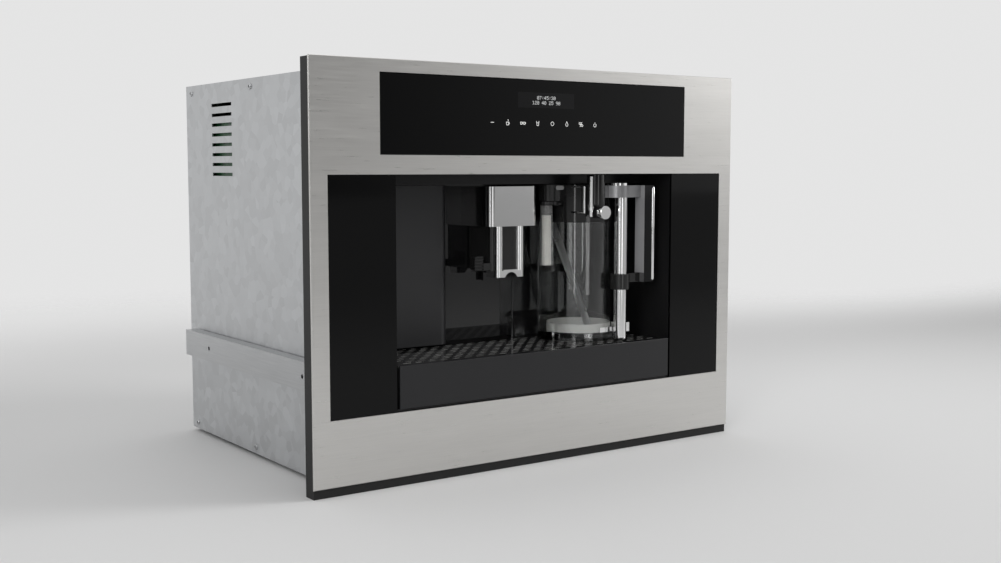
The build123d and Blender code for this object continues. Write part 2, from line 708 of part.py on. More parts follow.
def inner_chassis():
    plate = box((-LINER_HALF, LINER_HALF), (BULKHEAD_DEPTH, BULKHEAD_BACK), (PAN_TOP, LINER_TOP))
    opening = (DOOR_BOTTOM + HINGE_PIN_REACH, DOOR_TOP - HINGE_PIN_REACH)
    through = (BULKHEAD_DEPTH - CUT_OVER, BULKHEAD_BACK + CUT_OVER)
    plate -= box((BIN_LEFT + DOOR_GAP, DOOR_EDGE_X - DOOR_EDGE_LIP), through, opening)
    shelf_depth = (BULKHEAD_BACK, SHELF_BACK)
    shelf = box((-LINER_HALF, LINER_HALF), shelf_depth, (SHELF_BOTTOM, SHELF_TOP))
    leg = box((LINER_HALF - LINER_WALL, LINER_HALF), shelf_depth, (PAN_TOP, SHELF_BOTTOM))
    leg -= box((LINER_HALF - LINER_WALL, LINER_HALF),
               (BULKHEAD_BACK + LEG_WINDOW_MARGIN, SHELF_BACK - LEG_WINDOW_MARGIN),
               (PAN_TOP + LEG_WINDOW_MARGIN, SHELF_BOTTOM - LEG_WINDOW_MARGIN))
    body = plate + shelf + leg + mirrored(leg)
    nozzle = rod((JUG_X, BULKHEAD_DEPTH, OUTLET_Z), OUTLET_NOZZLE_RADIUS, BULKHEAD_THICKNESS, "y")
    bearing = rod((BREW_X, SCREW_DEPTH, SHELF_BOTTOM), LEAD_SCREW_RADIUS + SEAT_GAP, SHELF_THICKNESS)
    riser = rod((PUMP_X, RISER_DEPTH, SHELF_BOTTOM), HOSE_RADIUS + SEAT_GAP, SHELF_THICKNESS)
    return body - nozzle - bearing - riser


def steam_outlet():
    start = BACK_WALL_DEPTH - OUTLET_REACH
    nozzle = rod((JUG_X, start, OUTLET_Z), OUTLET_NOZZLE_RADIUS, BULKHEAD_BACK - start, "y")
    flange = rod((JUG_X, BULKHEAD_BACK, OUTLET_Z), OUTLET_FLANGE_RADIUS, BULKHEAD_THICKNESS, "y")
    bore = rod((JUG_X, start, OUTLET_Z), HOSE_RADIUS / 2, BULKHEAD_DEPTH - start, "y")
    return nozzle + flange - bore


# ---- service door ----
def service_door():
    limits = (DOOR_BOTTOM, DOOR_TOP)
    door = box((COVER_LEFT + HINGE_EDGE_RADIUS, DOOR_EDGE_X), (DOOR_FACE, DOOR_BACK), limits)
    inset = DOOR_EDGE_LIP
    left = COVER_LEFT + HINGE_EDGE_RADIUS
    right = DOOR_EDGE_X - inset
    rim = box((left, right), (DOOR_BACK, DOOR_RIM_BACK), (DOOR_BOTTOM + inset, DOOR_TOP - inset))
    wall = DOOR_RIM_WALL
    hollow = (DOOR_BOTTOM + inset + wall, DOOR_TOP - inset - wall)
    rim -= box((left + wall, right - wall), (DOOR_BACK, DOOR_RIM_BACK), hollow)
    guide_top = HOUSING_TOP - HOUSING_WALL
    neck = box((-GUIDE_NECK_HALF, GUIDE_NECK_HALF),
               (DOOR_FACE - GUIDE_NECK_DEPTH, DOOR_FACE), (GUIDE_BOTTOM, guide_top))
    head = box((-GUIDE_HEAD_HALF, GUIDE_HEAD_HALF),
               (GUIDE_FRONT, DOOR_FACE - GUIDE_NECK_DEPTH), (GUIDE_BOTTOM, guide_top))
    return door + rim + neck + head


def door_side_cover():
    cover = box((COVER_LEFT, COVER_RIGHT_X), (COVER_FRONT, DOOR_FACE), (DOOR_BOTTOM, DOOR_TOP))
    upright = cover.edges().filter_by(Axis.Z)
    front = upright.group_by(Axis.Y)[0].sort_by(Axis.X)
    cover = fillet(front[0], HINGE_EDGE_RADIUS)
    upright = cover.edges().filter_by(Axis.Z)
    corner = upright.group_by(Axis.Y)[0].sort_by(Axis.X)[-1]
    cover = fillet(corner, COVER_RADIUS)
    wall = COVER_WALL
    pocket = box((COVER_LEFT + wall, COVER_RIGHT_X - wall), (COVER_FRONT + wall, DOOR_FACE),
                 (DOOR_BOTTOM + wall, DOOR_TOP - wall))
    edges = pocket.edges().filter_by(Axis.Z).group_by(Axis.Y)[0]
    pocket = fillet(edges.sort_by(Axis.X)[-1], COVER_RADIUS - wall)
    cover -= pocket
    boss_length = HINGE_BOSS_HEIGHT
    for start in (DOOR_BOTTOM, DOOR_TOP - boss_length):
        cover += rod((HINGE_X, HINGE_DEPTH, start), HINGE_EDGE_RADIUS, boss_length)
        cover -= rod((HINGE_X, HINGE_DEPTH, start), HINGE_PIN_RADIUS + RUNNING_GAP, boss_length)
    return cover


def spout_housing():
    half = HOUSING_HALF_WIDTH
    shell = box((-half, half), (HOUSING_FRONT, DOOR_FACE), (HOUSING_BOTTOM, HOUSING_TOP))
    shell = fillet(shell.edges().filter_by(Axis.Z).group_by(Axis.Y)[0], HOUSING_RADIUS)
    wall = HOUSING_WALL
    hollow = box((-half + wall, half - wall), (HOUSING_FRONT + wall, DOOR_FACE),
                 (HOUSING_BOTTOM - CUT_OVER, HOUSING_TOP - wall))
    hollow = fillet(hollow.edges().filter_by(Axis.Z).group_by(Axis.Y)[0], HOUSING_RADIUS - wall)
    return shell - hollow


# ---- spout ----
def spout_tubes():
    back = NOZZLE_FRONT + LEG_DEPTH
    outer = NOZZLE_HALF_WIDTH
    leg = box((outer - LEG_WIDTH, outer), (NOZZLE_FRONT, back), (CORE_BOTTOM, CORE_TOP))
    round_over = LEG_WIDTH / 2 - RUNNING_GAP
    leg = fillet(leg.edges().filter_by(Axis.Z).group_by(Axis.Y)[0], round_over)
    foot_back = NOZZLE_FRONT + NOZZLE_FOOT_DEPTH
    foot = box((-outer, outer), (NOZZLE_FRONT, foot_back), (NOZZLE_BOTTOM, CORE_BOTTOM))
    foot = fillet(foot.edges().filter_by(Axis.Z).group_by(Axis.Y)[0], round_over)
    bridge = box((-outer + LEG_WIDTH, outer - LEG_WIDTH), (NOZZLE_FRONT + CUT_OVER, back),
                 (CORE_BOTTOM, NOZZLE_BOTTOM + NOZZLE_BRIDGE))
    body = leg + mirrored(leg) + foot + bridge
    arch = rod((0, NOZZLE_FRONT - CUT_OVER, NOZZLE_BOTTOM - ARCH_DROP), ARCH_RADIUS,
               NOZZLE_FOOT_DEPTH + 2 * CUT_OVER, "y")
    body -= arch
    for side in (-1, 1):
        x = side * (outer - LEG_WIDTH / 2)
        body -= rod((x, back, NOZZLE_BOTTOM), OUTLET_RADIUS, CORE_BOTTOM - NOZZLE_BOTTOM)
    return body


def spout_core():
    half = CORE_HALF_WIDTH
    back = DOOR_FACE - SEAT_GAP
    core = rounded((-half, half), (CORE_FRONT, back), (CORE_BOTTOM, CORE_TOP), CORE_RADIUS)
    full = (CORE_BOTTOM - CUT_OVER, CORE_TOP + CUT_OVER)
    head = GUIDE_HEAD_HALF + SEAT_GAP
    neck_start = DOOR_FACE - GUIDE_NECK_DEPTH + SEAT_GAP
    core -= box((-head, head), (GUIDE_FRONT - SEAT_GAP, neck_start), full)
    neck = GUIDE_NECK_HALF + SEAT_GAP
    core -= box((-neck, neck), (neck_start, back + CUT_OVER), full)
    arch = rod((0, CORE_FRONT - CUT_OVER, NOZZLE_BOTTOM - ARCH_DROP), ARCH_RADIUS,
               NOZZLE_FOOT_DEPTH, "y")
    core -= arch
    tab_bottom = CORE_BOTTOM + CUT_OVER
    tab = rounded((-half - GRIP_WIDTH, -half), (CORE_FRONT, CORE_FRONT + GRIP_DEPTH),
                  (tab_bottom, tab_bottom + GRIP_HEIGHT), 2 * GRIP_RIDGE, Axis.Y)
    tab -= box((-half - GRIP_WIDTH + GRIP_RIDGED, -half), (CORE_FRONT, CORE_FRONT + GRIP_DEPTH),
               (tab_bottom + GRIP_HEIGHT / 2, tab_bottom + GRIP_HEIGHT))
    pitch = GRIP_HEIGHT / GRIP_RIDGES
    for index in range(GRIP_RIDGES):
        z = tab_bottom + (index + 0.5) * pitch
        groove = rod((-half - GRIP_WIDTH, CORE_FRONT, z), GRIP_RIDGE, GRIP_RIDGED, "x")
        tab -= groove
    return core + tab


# ---- drip tray ----
def drip_tray():
    half = TRAY_HALF - CUT_OVER
    return tub((-half, half), (TRAY_FRONT_THICKNESS, TRAY_BACK), (TRAY_BOTTOM, TRAY_RIM),
               TRAY_RADIUS, TRAY_WALL, TRAY_WALL)


def tray_front():
    limits = (TRAY_BOTTOM, GRILLE_TOP)
    panel = box((-TRAY_HALF, TRAY_HALF), (0, TRAY_FRONT_THICKNESS), limits)
    return chamfer(panel.faces().sort_by(Axis.Y)[0].edges(), GLASS_GAP)


def tray_grille():
    length = TRAY_BACK - TRAY_FRONT_THICKNESS
    centre_depth = TRAY_FRONT_THICKNESS + length / 2
    width = 2 * TRAY_HALF - CUT_OVER
    columns = int((width - 2 * GRILLE_MARGIN) / SLOT_PITCH)
    rows = int((length - 2 * GRILLE_MARGIN) / SLOT_ROW_PITCH) + 1
    plate = Rectangle(width, length)
    slot = Rectangle(SLOT_LENGTH, SLOT_WIDTH)
    for row in range(rows):
        shift = SLOT_PITCH / 2 * (row % 2)
        y = (row - (rows - 1) / 2) * SLOT_ROW_PITCH
        count = columns - row % 2
        places = GridLocations(SLOT_PITCH, 0, count, 1)
        near_float = [abs(place.position.X - FLOAT_X) < SLOT_PITCH
                      and abs(y + length / 2 + TRAY_FRONT_THICKNESS - FLOAT_DEPTH) < SLOT_ROW_PITCH
                      for place in places]
        cuts = [Pos(0, y) * place * slot for place, near in zip(places, near_float) if not near]
        plate -= cuts
    drain = Pos((DRAIN_LEFT + DRAIN_RIGHT) / 2, (DRAIN_FRONT + DRAIN_BACK) / 2 - centre_depth)
    drain_size = (DRAIN_RIGHT - DRAIN_LEFT, DRAIN_BACK - DRAIN_FRONT)
    plate += drain * Rectangle(drain_size[0] + 2 * DRAIN_RIM, drain_size[1] + 2 * DRAIN_RIM)
    plate -= drain * Rectangle(*drain_size)
    centre = FRONT_Y + centre_depth
    body = Pos(0, centre, TRAY_RIM) * extrude(plate, amount=GRILLE_THICKNESS)
    hole = FLOAT_STEM_RADIUS + SEAT_GAP
    return body - rod((FLOAT_X, FLOAT_DEPTH, TRAY_RIM), hole, GRILLE_THICKNESS)


def tray_float():
    start = TRAY_FLOOR + SEAT_GAP
    disc = rod((FLOAT_X, FLOAT_DEPTH, start), FLOAT_RADIUS, FLOAT_HEIGHT)
    stem_start = start + FLOAT_HEIGHT
    stem_top = GRILLE_TOP - FLOAT_SINK
    return disc + rod((FLOAT_X, FLOAT_DEPTH, stem_start), FLOAT_STEM_RADIUS, stem_top - stem_start)


# ---- milk jug ----
def jug_outline(inset, z, height):
    """Round jug body with its pouring lip, drawn in by an inset."""
    body = Pos(JUG_X, FRONT_Y + JUG_DEPTH) * Circle(JUG_RADIUS - inset)
    lip = Pos(LIP_X, FRONT_Y + LIP_DEPTH) * Circle(LIP_RADIUS - inset)
    outline = make_hull(body.edges() + lip.edges())
    return Pos(0, 0, z) * extrude(outline, amount=height)


def jug_glass():
    outer = jug_outline(0, JUG_BOTTOM, JUG_RIM - JUG_BOTTOM)
    inner = jug_outline(JUG_WALL, JUG_FLOOR_Z, JUG_RIM - JUG_FLOOR_Z + CUT_OVER)
    return outer - inner


def jug_band():
    outer = JUG_RADIUS - JUG_WALL - SEAT_GAP
    return ring((JUG_X, JUG_DEPTH, JUG_FLOOR_Z), outer, outer - BAND_WALL, BAND_HEIGHT)


def jug_lid():
    lid = rod((JUG_X, JUG_DEPTH, JUG_RIM), LID_RADIUS, LID_TOP - JUG_RIM)
    lid += jug_outline(0, JUG_RIM, LID_FLANGE)
    depth = (SPOUT_DEPTH - ARM_HALF_DEPTH, SPOUT_DEPTH + ARM_HALF_DEPTH)
    arm = box((ARM_LEFT_X, JUG_X), depth, (ARM_BOTTOM, LID_TOP))
    left = arm.edges().filter_by(Axis.Z).group_by(Axis.X)[0]
    lid += fillet(left, ARM_HALF_DEPTH / 2)
    lid += rod((TOWER_X, TOWER_DEPTH, TOWER_BOTTOM), TOWER_RADIUS, TOWER_TOP - TOWER_BOTTOM)
    lid += rod((TOWER_X, KNOB_BOSS_FRONT, KNOB_Z), KNOB_BOSS_RADIUS, JUG_DEPTH - KNOB_BOSS_FRONT, "y")
    lid -= rod((TOWER_X, KNOB_BOSS_FRONT, KNOB_Z), KNOB_PIN_RADIUS + RUNNING_GAP, KNOB_PIN + SEAT_GAP, "y")
    lid -= rod((SPOUT_PIVOT_X, SPOUT_DEPTH, ARM_BOTTOM), SPOUT_PIN_RADIUS + RUNNING_GAP,
               SPOUT_PIN + SEAT_GAP)
    lid -= rod((SPOUT_PIVOT_X, SPOUT_DEPTH, SPOUT_TOP_Z - CUT_OVER), SPOUT_TOP_RADIUS + SPOUT_SWING_GAP,
               ARM_BOTTOM - SPOUT_TOP_Z + CUT_OVER)
    socket = JUG_DEPTH + LID_RADIUS - (BACK_WALL_DEPTH - OUTLET_REACH) + SEAT_GAP
    start = JUG_DEPTH + LID_RADIUS - socket
    return lid - rod((JUG_X, start, OUTLET_Z), OUTLET_NOZZLE_RADIUS + SEAT_GAP, socket + CUT_OVER, "y")


def lid_pipes():
    top = TOWER_TOP - CUT_OVER
    pipe = rod((PIPE_X, PIPE_DEPTH, PIPE_BOTTOM), PIPE_RADIUS, top - PIPE_BOTTOM)
    pipe = fillet(pipe.edges(), PIPE_RADIUS / 2)
    collar = rod((PIPE_X, PIPE_DEPTH, COLLAR_Z), COLLAR_RADIUS, COLLAR_HEIGHT)
    bridge_z = TOWER_BOTTOM + COLLAR_HEIGHT
    bridge = rod((PIPE_X, TOWER_DEPTH, bridge_z), PIPE_RADIUS / 2, TOWER_X - PIPE_X, "x")
    tower = rod((TOWER_X, TOWER_DEPTH, TOWER_BOTTOM), TOWER_RADIUS, TOWER_TOP - TOWER_BOTTOM)
    return pipe + collar + bridge - tower


def thin_pipe():
    """Air pipe in front of the lid, bent back into it at both ends."""
    low, high = KNOB_Z, LID_TOP - 2 * THIN_PIPE_RADIUS
    pipe = rod((THIN_PIPE_X, PIPE_DEPTH, low), THIN_PIPE_RADIUS, high - low)
    for z in (low, high):
        pipe += Pos(THIN_PIPE_X, FRONT_Y + PIPE_DEPTH, z) * Sphere(THIN_PIPE_RADIUS)
        pipe += rod((THIN_PIPE_X, PIPE_DEPTH, z), THIN_PIPE_RADIUS, JUG_DEPTH - PIPE_DEPTH, "y")
    return pipe - jug_round() - jug_outline(0, JUG_RIM, LID_FLANGE)


def suction_tube():
    """Slanted tube from the lid down to the jug's floor, trimmed by the room inside the glass."""
    top = Vector(SUCTION_TOP_PLACE[0], FRONT_Y + SUCTION_TOP_PLACE[1], JUG_RIM)
    foot = Vector(SUCTION_FOOT_PLACE[0], FRONT_Y + SUCTION_FOOT_PLACE[1], JUG_FLOOR_Z + SUCTION_FOOT_RISE)
    run = foot - top
    section = Plane(origin=top - run * SUCTION_SPARE, z_dir=run) * Circle(SUCTION_RADIUS)
    body = extrude(section, amount=run.length * (1 + SUCTION_SPARE))
    floor = JUG_FLOOR_Z + SEAT_GAP
    return body & jug_outline(JUG_WALL + SEAT_GAP, floor, JUG_RIM - floor)


def froth_knob():
    face = rod((TOWER_X, KNOB_FRONT, KNOB_Z), KNOB_RADIUS, KNOB_FACE, "y")
    face = chamfer(face.edges().group_by(Axis.Y)[0], GLASS_GAP)
    neck_start = KNOB_FRONT + KNOB_FACE
    neck = rod((TOWER_X, neck_start, KNOB_Z), KNOB_NECK_RADIUS, KNOB_NECK, "y")
    pin_start = neck_start + KNOB_NECK
    return face + neck + rod((TOWER_X, pin_start, KNOB_Z), KNOB_PIN_RADIUS, KNOB_PIN, "y")


def milk_spout():
    height = SPOUT_TOP_Z - SPOUT_TIP_Z
    tube = rod((SPOUT_X, SPOUT_DEPTH, SPOUT_TIP_Z), SPOUT_TIP_RADIUS, height, "z", SPOUT_TOP_RADIUS)
    tube -= rod((SPOUT_X, SPOUT_DEPTH, SPOUT_TIP_Z), SPOUT_BORE, height)
    half = SPOUT_TOP_RADIUS
    link = rounded((SPOUT_X - half, SPOUT_PIVOT_X + half), (SPOUT_DEPTH - half, SPOUT_DEPTH + half),
                   (SPOUT_TOP_Z, SPOUT_TOP_Z + SPOUT_LINK), half - RUNNING_GAP)
    pin_start = SPOUT_TOP_Z + SPOUT_LINK
    pin = rod((SPOUT_PIVOT_X, SPOUT_DEPTH, pin_start), SPOUT_PIN_RADIUS,
              ARM_BOTTOM + SPOUT_PIN - pin_start)
    return tube + link + pin


def jug_round(inset=0.0):
    """Plain round of the jug and its lid, for parts that are shaped against them."""
    glass = rod((JUG_X, JUG_DEPTH, JUG_BOTTOM), JUG_RADIUS + inset, JUG_RIM - JUG_BOTTOM)
    return glass + rod((JUG_X, JUG_DEPTH, JUG_RIM), LID_RADIUS + inset, LID_TOP - JUG_RIM)


def handle_post():
    post = rod((POST_X, POST_DEPTH, JUG_BOTTOM), POST_RADIUS, POST_TOP - JUG_BOTTOM)
    post = fillet(post.edges().sort_by(Axis.Z)[0], POST_ROUND)
    back = POST_DEPTH + 2 * POST_RADIUS
    clip = box((POST_X, POST_X + POST_RADIUS + CLIP_REACH), (POST_DEPTH, back),
               (JUG_FLOOR_Z, JUG_FLOOR_Z + CLIP_HEIGHT))
    link = box((JUG_X, POST_X), (POST_DEPTH + POST_RADIUS, back),
               (JUG_FLOOR_Z, JUG_FLOOR_Z + CLIP_LINK_HEIGHT))
    return post + ((clip + link) - jug_round())


def handle_grip():
    depth = (GRIP_FRONT, GRIP_FRONT + GRIP_THICKNESS)
    upright = box((GRIP_LEFT_X, GRIP_RIGHT_X), depth, (GRIP_BOTTOM, GRIP_TOP))
    outside = upright.edges().filter_by(Axis.Z).group_by(Axis.X)[-1]
    frame = fillet(outside, GRIP_ROUND)
    frame += box((CAP_X, GRIP_LEFT_X), (BRACKET_FRONT, depth[1]), (POST_TOP, GRIP_TOP))
    head = rod((CAP_X, CAP_DEPTH, POST_TOP), CAP_RADIUS, GRIP_TOP - POST_TOP)
    ear = head + box((JUG_X, CAP_X), (CAP_DEPTH, JUG_DEPTH - JUG_RADIUS / 2), (POST_TOP, GRIP_TOP))
    wall = POST_RADIUS + SOCKET_WALL
    socket = rod((POST_X, POST_DEPTH, SOCKET_BOTTOM), wall, SOCKET_HEIGHT)
    arm = box((POST_X, GRIP_LEFT_X + GRIP_ROUND),
              (POST_DEPTH - POST_RADIUS / 2, POST_DEPTH + POST_RADIUS / 2), (GRIP_BOTTOM, SOCKET_TOP))
    post = rod((POST_X, POST_DEPTH, SOCKET_BOTTOM), POST_RADIUS, SOCKET_HEIGHT)
    tower = rod((TOWER_X, TOWER_DEPTH, TOWER_BOTTOM), TOWER_RADIUS + SEAT_GAP, TOWER_TOP - TOWER_BOTTOM)
    return frame + ear + socket + arm - post - jug_round() - tower


def handle_cap():
    cap = rod((CAP_X, CAP_DEPTH, GRIP_TOP), CAP_RADIUS, CAP_HEIGHT)
    cap -= rod((CAP_X, CAP_DEPTH, GRIP_TOP + CAP_HEIGHT / 2), CAP_RADIUS / 2, CAP_HEIGHT)
    return cap - jug_round(SEAT_GAP)


# ---- chassis ----
def base_pan():
    depth = (FASCIA_BACK, BODY_BACK)
    pan = box((-BODY_INNER, BODY_INNER), depth, (BODY_BASE, PAN_TOP))
    upstand = box((BODY_INNER - SHEET, BODY_INNER), depth, (PAN_TOP, PAN_TOP + FLANGE))
    back = box((-BODY_INNER + SHEET, BODY_INNER - SHEET), (BODY_BACK - SHEET, BODY_BACK),
               (PAN_TOP, PAN_TOP + FLANGE))
    return pan + upstand + mirrored(upstand) + back


def feet():
    x = BODY_INNER - FOOT_INSET
    near = FASCIA_BACK + FOOT_INSET
    far = BODY_BACK - FOOT_INSET
    pads = [rod((side * x, depth, 0), FOOT_RADIUS, BODY_BASE) for side in (-1, 1) for depth in (near, far)]
    return group(*pads)


def side_panel():
    panel = box((BODY_INNER, BODY_HALF), (FASCIA_BACK, BODY_BACK), (BODY_BASE, PANEL_TOP))
    panel += box((BODY_INNER - FLANGE, BODY_INNER), (FASCIA_BACK, FASCIA_BACK + SHEET),
                 (PAN_TOP + FLANGE, PANEL_TOP - FLANGE))
    for index in range(SIDE_VENTS):
        z = SIDE_VENT_TOP - index * SIDE_VENT_PITCH
        panel -= box((BODY_INNER - CUT_OVER, BODY_HALF + CUT_OVER),
                     (SIDE_VENT_BACK - SIDE_VENT_LENGTH, SIDE_VENT_BACK), (z - SIDE_VENT_WIDTH, z))
    return panel


def rear_panel():
    panel = box((-BODY_HALF, BODY_HALF), (BODY_BACK, OVERALL_DEPTH), (BODY_BASE, PANEL_TOP))
    through = (BODY_BACK - CUT_OVER, OVERALL_DEPTH + CUT_OVER)
    for index in range(REAR_VENTS):
        z = REAR_VENT_TOP - index * SIDE_VENT_PITCH
        for left in (-REAR_VENT_X - REAR_VENT_LENGTH, REAR_VENT_X):
            panel -= box((left, left + REAR_VENT_LENGTH), through, (z - SIDE_VENT_WIDTH, z))
    panel -= box((INLET_X - INLET_WIDTH / 2, INLET_X + INLET_WIDTH / 2), through,
                 (INLET_Z - INLET_HEIGHT / 2, INLET_Z + INLET_HEIGHT / 2))
    half = ROCKER_HALF_WIDTH + BEZEL_WALL
    tall = ROCKER_RADIUS + BEZEL_WALL
    return panel - box((ROCKER_X - half, ROCKER_X + half), through, (INLET_Z - tall, INLET_Z + tall))


def lid_axis(back):
    """Depth and height of the hinge axis of a lid on the top panel."""
    return back + LID_MARGIN + BARREL_RADIUS, LID_BOTTOM + BARREL_RADIUS


def hinge_lugs(span, axis, base, pin):
    """Two lugs on a base height, with the pins that carry a lid's rear barrel."""
    depth, z = axis
    lugs = Part()
    for edge, side in ((span[0], -1), (span[1], 1)):
        near = edge + side * SEAT_GAP
        far = near + side * LID_MARGIN
        x = (min(near, far), max(near, far))
        lugs += box(x, (depth - BARREL_RADIUS, depth + BARREL_RADIUS), (base, z + BARREL_RADIUS))
        start = near if side < 0 else near - pin
        lugs += rod((start, depth, z), BARREL_PIN_RADIUS, pin, "x")
    return lugs


def with_barrel(lid, span, axis, pin):
    """The lid with a barrel along its rear edge, and a pin hole at each end of it."""
    depth, z = axis
    lid += rod((span[0], depth, z), BARREL_RADIUS, span[1] - span[0], "x")
    for start in (span[0], span[1] - pin):
        lid -= rod((start, depth, z), BARREL_PIN_RADIUS + RUNNING_GAP, pin, "x")
    return lid


def top_lid(left, right, front, back):
    """Flat lid over an opening in the top panel, hinged along its rear edge."""
    axis = lid_axis(back)
    lid = box((left - LID_MARGIN, right + LID_MARGIN), (front - LID_MARGIN, back + LID_MARGIN / 2),
              (LID_BOTTOM, LID_BOTTOM + LID_SHEET))
    lid = fillet(lid.edges().filter_by(Axis.Z), LID_MARGIN / 2)
    lid += box((left, right), (back, axis[0]), (LID_BOTTOM, LID_BOTTOM + LID_SHEET))
    return with_barrel(lid, (left, right), axis, BARREL_PIN)


def top_panel():
    limits = (PANEL_TOP, BODY_TOP)
    panel = box((-BODY_HALF, BODY_HALF), (FASCIA_BACK, OVERALL_DEPTH), limits)
    through = (PANEL_TOP - CUT_OVER, BODY_TOP + CUT_OVER)
    wall = HOPPER_WALL
    panel -= box((HOPPER_LEFT + wall, HOPPER_RIGHT - wall),
                 (HOPPER_FRONT + wall, HOPPER_BACK - wall), through)
    wall = CHUTE_WALL
    panel -= box((CHUTE_LEFT + wall, CHUTE_RIGHT - wall), (CHUTE_FRONT + wall, CHUTE_BACK - wall), through)
    room = SEAT_GAP + CUT_OVER
    panel -= rounded((TANK_LEFT - room, TANK_RIGHT + room), (TANK_FRONT - room, TANK_BACK + room),
                     through, TANK_RADIUS)
    bush = (DIAL_X, DIAL_DEPTH, PANEL_TOP - DIAL_SHAFT)
    panel += rod(bush, 2 * SHAFT_RADIUS, DIAL_SHAFT)
    panel -= rod(bush, SHAFT_RADIUS + RUNNING_GAP, DIAL_SHAFT + SHEET)
    panel += hinge_lugs((HOPPER_LEFT, HOPPER_RIGHT), lid_axis(HOPPER_BACK), BODY_TOP, BARREL_PIN)
    return panel + hinge_lugs((CHUTE_LEFT, CHUTE_RIGHT), lid_axis(CHUTE_BACK), BODY_TOP, BARREL_PIN)


def chassis_screws():
    rows = (BODY_BASE + FOOT_INSET, (BODY_BASE + BODY_TOP) / 2, BODY_TOP - FOOT_INSET)
    column = BODY_INNER - FLANGE / 2
    heads = [rod((side * column, FASCIA_BACK + SHEET, z), SCREW_RADIUS, SCREW_HEAD, "y")
             for side in (-1, 1) for z in rows]
    return group(*heads)


# ---- runners ----
def channel(web_x, open_x, half):
    """C-shaped rail: web at one X, flanges towards another."""
    depth = (RAIL_FRONT, RAIL_BACK)
    toward = RAIL_SHEET if open_x > web_x else -RAIL_SHEET
    rail = box(tuple(sorted((web_x, web_x + toward))), depth, (RAIL_Z - half, RAIL_Z + half))
    for side in (-1, 1):
        edge = RAIL_Z + side * half
        z = tuple(sorted((edge, edge - side * RAIL_SHEET)))
        rail += box(tuple(sorted((web_x, open_x))), depth, z)
    return rail


def inner_rails():
    rail = channel(BODY_HALF, BODY_HALF + INNER_RAIL_DEPTH, INNER_RAIL_HALF)
    return group(rail, mirrored(rail))


def middle_rails():
    web = OUTER_FACE - RAIL_SHEET - MIDDLE_RAIL_DEPTH / 2
    rail = channel(web, web - MIDDLE_RAIL_DEPTH, MIDDLE_HALF)
    return group(rail, mirrored(rail))


def outer_rails():
    rail = channel(OUTER_FACE, BODY_HALF + RAIL_SHEET, OUTER_HALF)
    for depth in (RAIL_HOLE_FRONT, RAIL_HOLE_FRONT + RAIL_HOLE_SPACING):
        rail -= rod((OUTER_FACE - RAIL_SHEET, depth, RAIL_Z), RAIL_HOLE_RADIUS, RAIL_SHEET, "x")
    return group(rail, mirrored(rail))


# ---- grinder, hopper and chute ----
def grinder_motor():
    motor = rod((GRINDER_X, GRINDER_DEPTH, SHELF_TOP), MOTOR_FOOT_RADIUS, MOTOR_FOOT)
    motor += rod((GRINDER_X, GRINDER_DEPTH, SHELF_TOP), MOTOR_RADIUS, MOTOR_TOP - SHELF_TOP)
    return motor


def grinder_housing():
    body = rod((GRINDER_X, GRINDER_DEPTH, MOTOR_TOP), GRINDER_RADIUS, GRINDER_TOP - MOTOR_TOP)
    body -= rod((GRINDER_X, GRINDER_DEPTH, GRINDER_SEAT), CHAMBER_RADIUS, GRINDER_TOP - GRINDER_SEAT)
    body -= rod((GRINDER_X, GRINDER_DEPTH, MOTOR_TOP), SHAFT_RADIUS + RUNNING_GAP, GRINDER_FLOOR)
    duct = CHUTE_HALF - CHUTE_WALL
    return body - box((GRINDER_X - duct / 2, GRINDER_X + duct / 2),
                      (GRINDER_DEPTH - GRINDER_RADIUS - CUT_OVER, GRINDER_DEPTH),
                      (DUCT_BOTTOM + CHUTE_WALL, DUCT_BOTTOM + DUCT_HEIGHT - CHUTE_WALL))


def ring_burr():
    start = (GRINDER_X, GRINDER_DEPTH, RING_BURR_BOTTOM + RING_BURR_HEIGHT)
    body = rod(start, CHAMBER_RADIUS, RING_BURR_HEIGHT / 2)
    return body - rod(start, RING_BURR_INNER, RING_BURR_HEIGHT / 2)


def grinding_burr():
    base = (GRINDER_X, GRINDER_DEPTH, BURR_BOTTOM)
    cone = rod(base, BURR_RADIUS, BURR_HEIGHT, "z", BURR_TOP_RADIUS)
    for index in range(BURR_TEETH):
        angle = radians(index * 360 / BURR_TEETH)
        x = GRINDER_X + BURR_RADIUS * cos(angle)
        depth = GRINDER_DEPTH + BURR_RADIUS * sin(angle)
        cone -= rod((x, depth, BURR_BOTTOM), BURR_TOOTH, BURR_HEIGHT / 2)
    shaft_start = MOTOR_TOP + SEAT_GAP
    return cone + rod((GRINDER_X, GRINDER_DEPTH, shaft_start), SHAFT_RADIUS, BURR_BOTTOM - shaft_start)


def funnel(grow, z_top, z_bottom):
    """Rectangle-to-square funnel solid of the hopper, shrunk by a negative grow."""
    middle_x = (HOPPER_LEFT + HOPPER_RIGHT) / 2
    middle_y = FRONT_Y + (HOPPER_FRONT + HOPPER_BACK) / 2
    width = HOPPER_RIGHT - HOPPER_LEFT + 2 * grow
    length = HOPPER_BACK - HOPPER_FRONT + 2 * grow
    mouth = Pos(middle_x, middle_y, z_top - HOPPER_MOUTH_DEPTH) * Rectangle(width, length)
    side = 2 * (THROAT_HALF + grow)
    throat = Pos(GRINDER_X, FRONT_Y + GRINDER_DEPTH, z_bottom) * Rectangle(side, side)
    rim = extrude(mouth, amount=HOPPER_MOUTH_DEPTH)
    return loft([throat, mouth], ruled=True) + rim


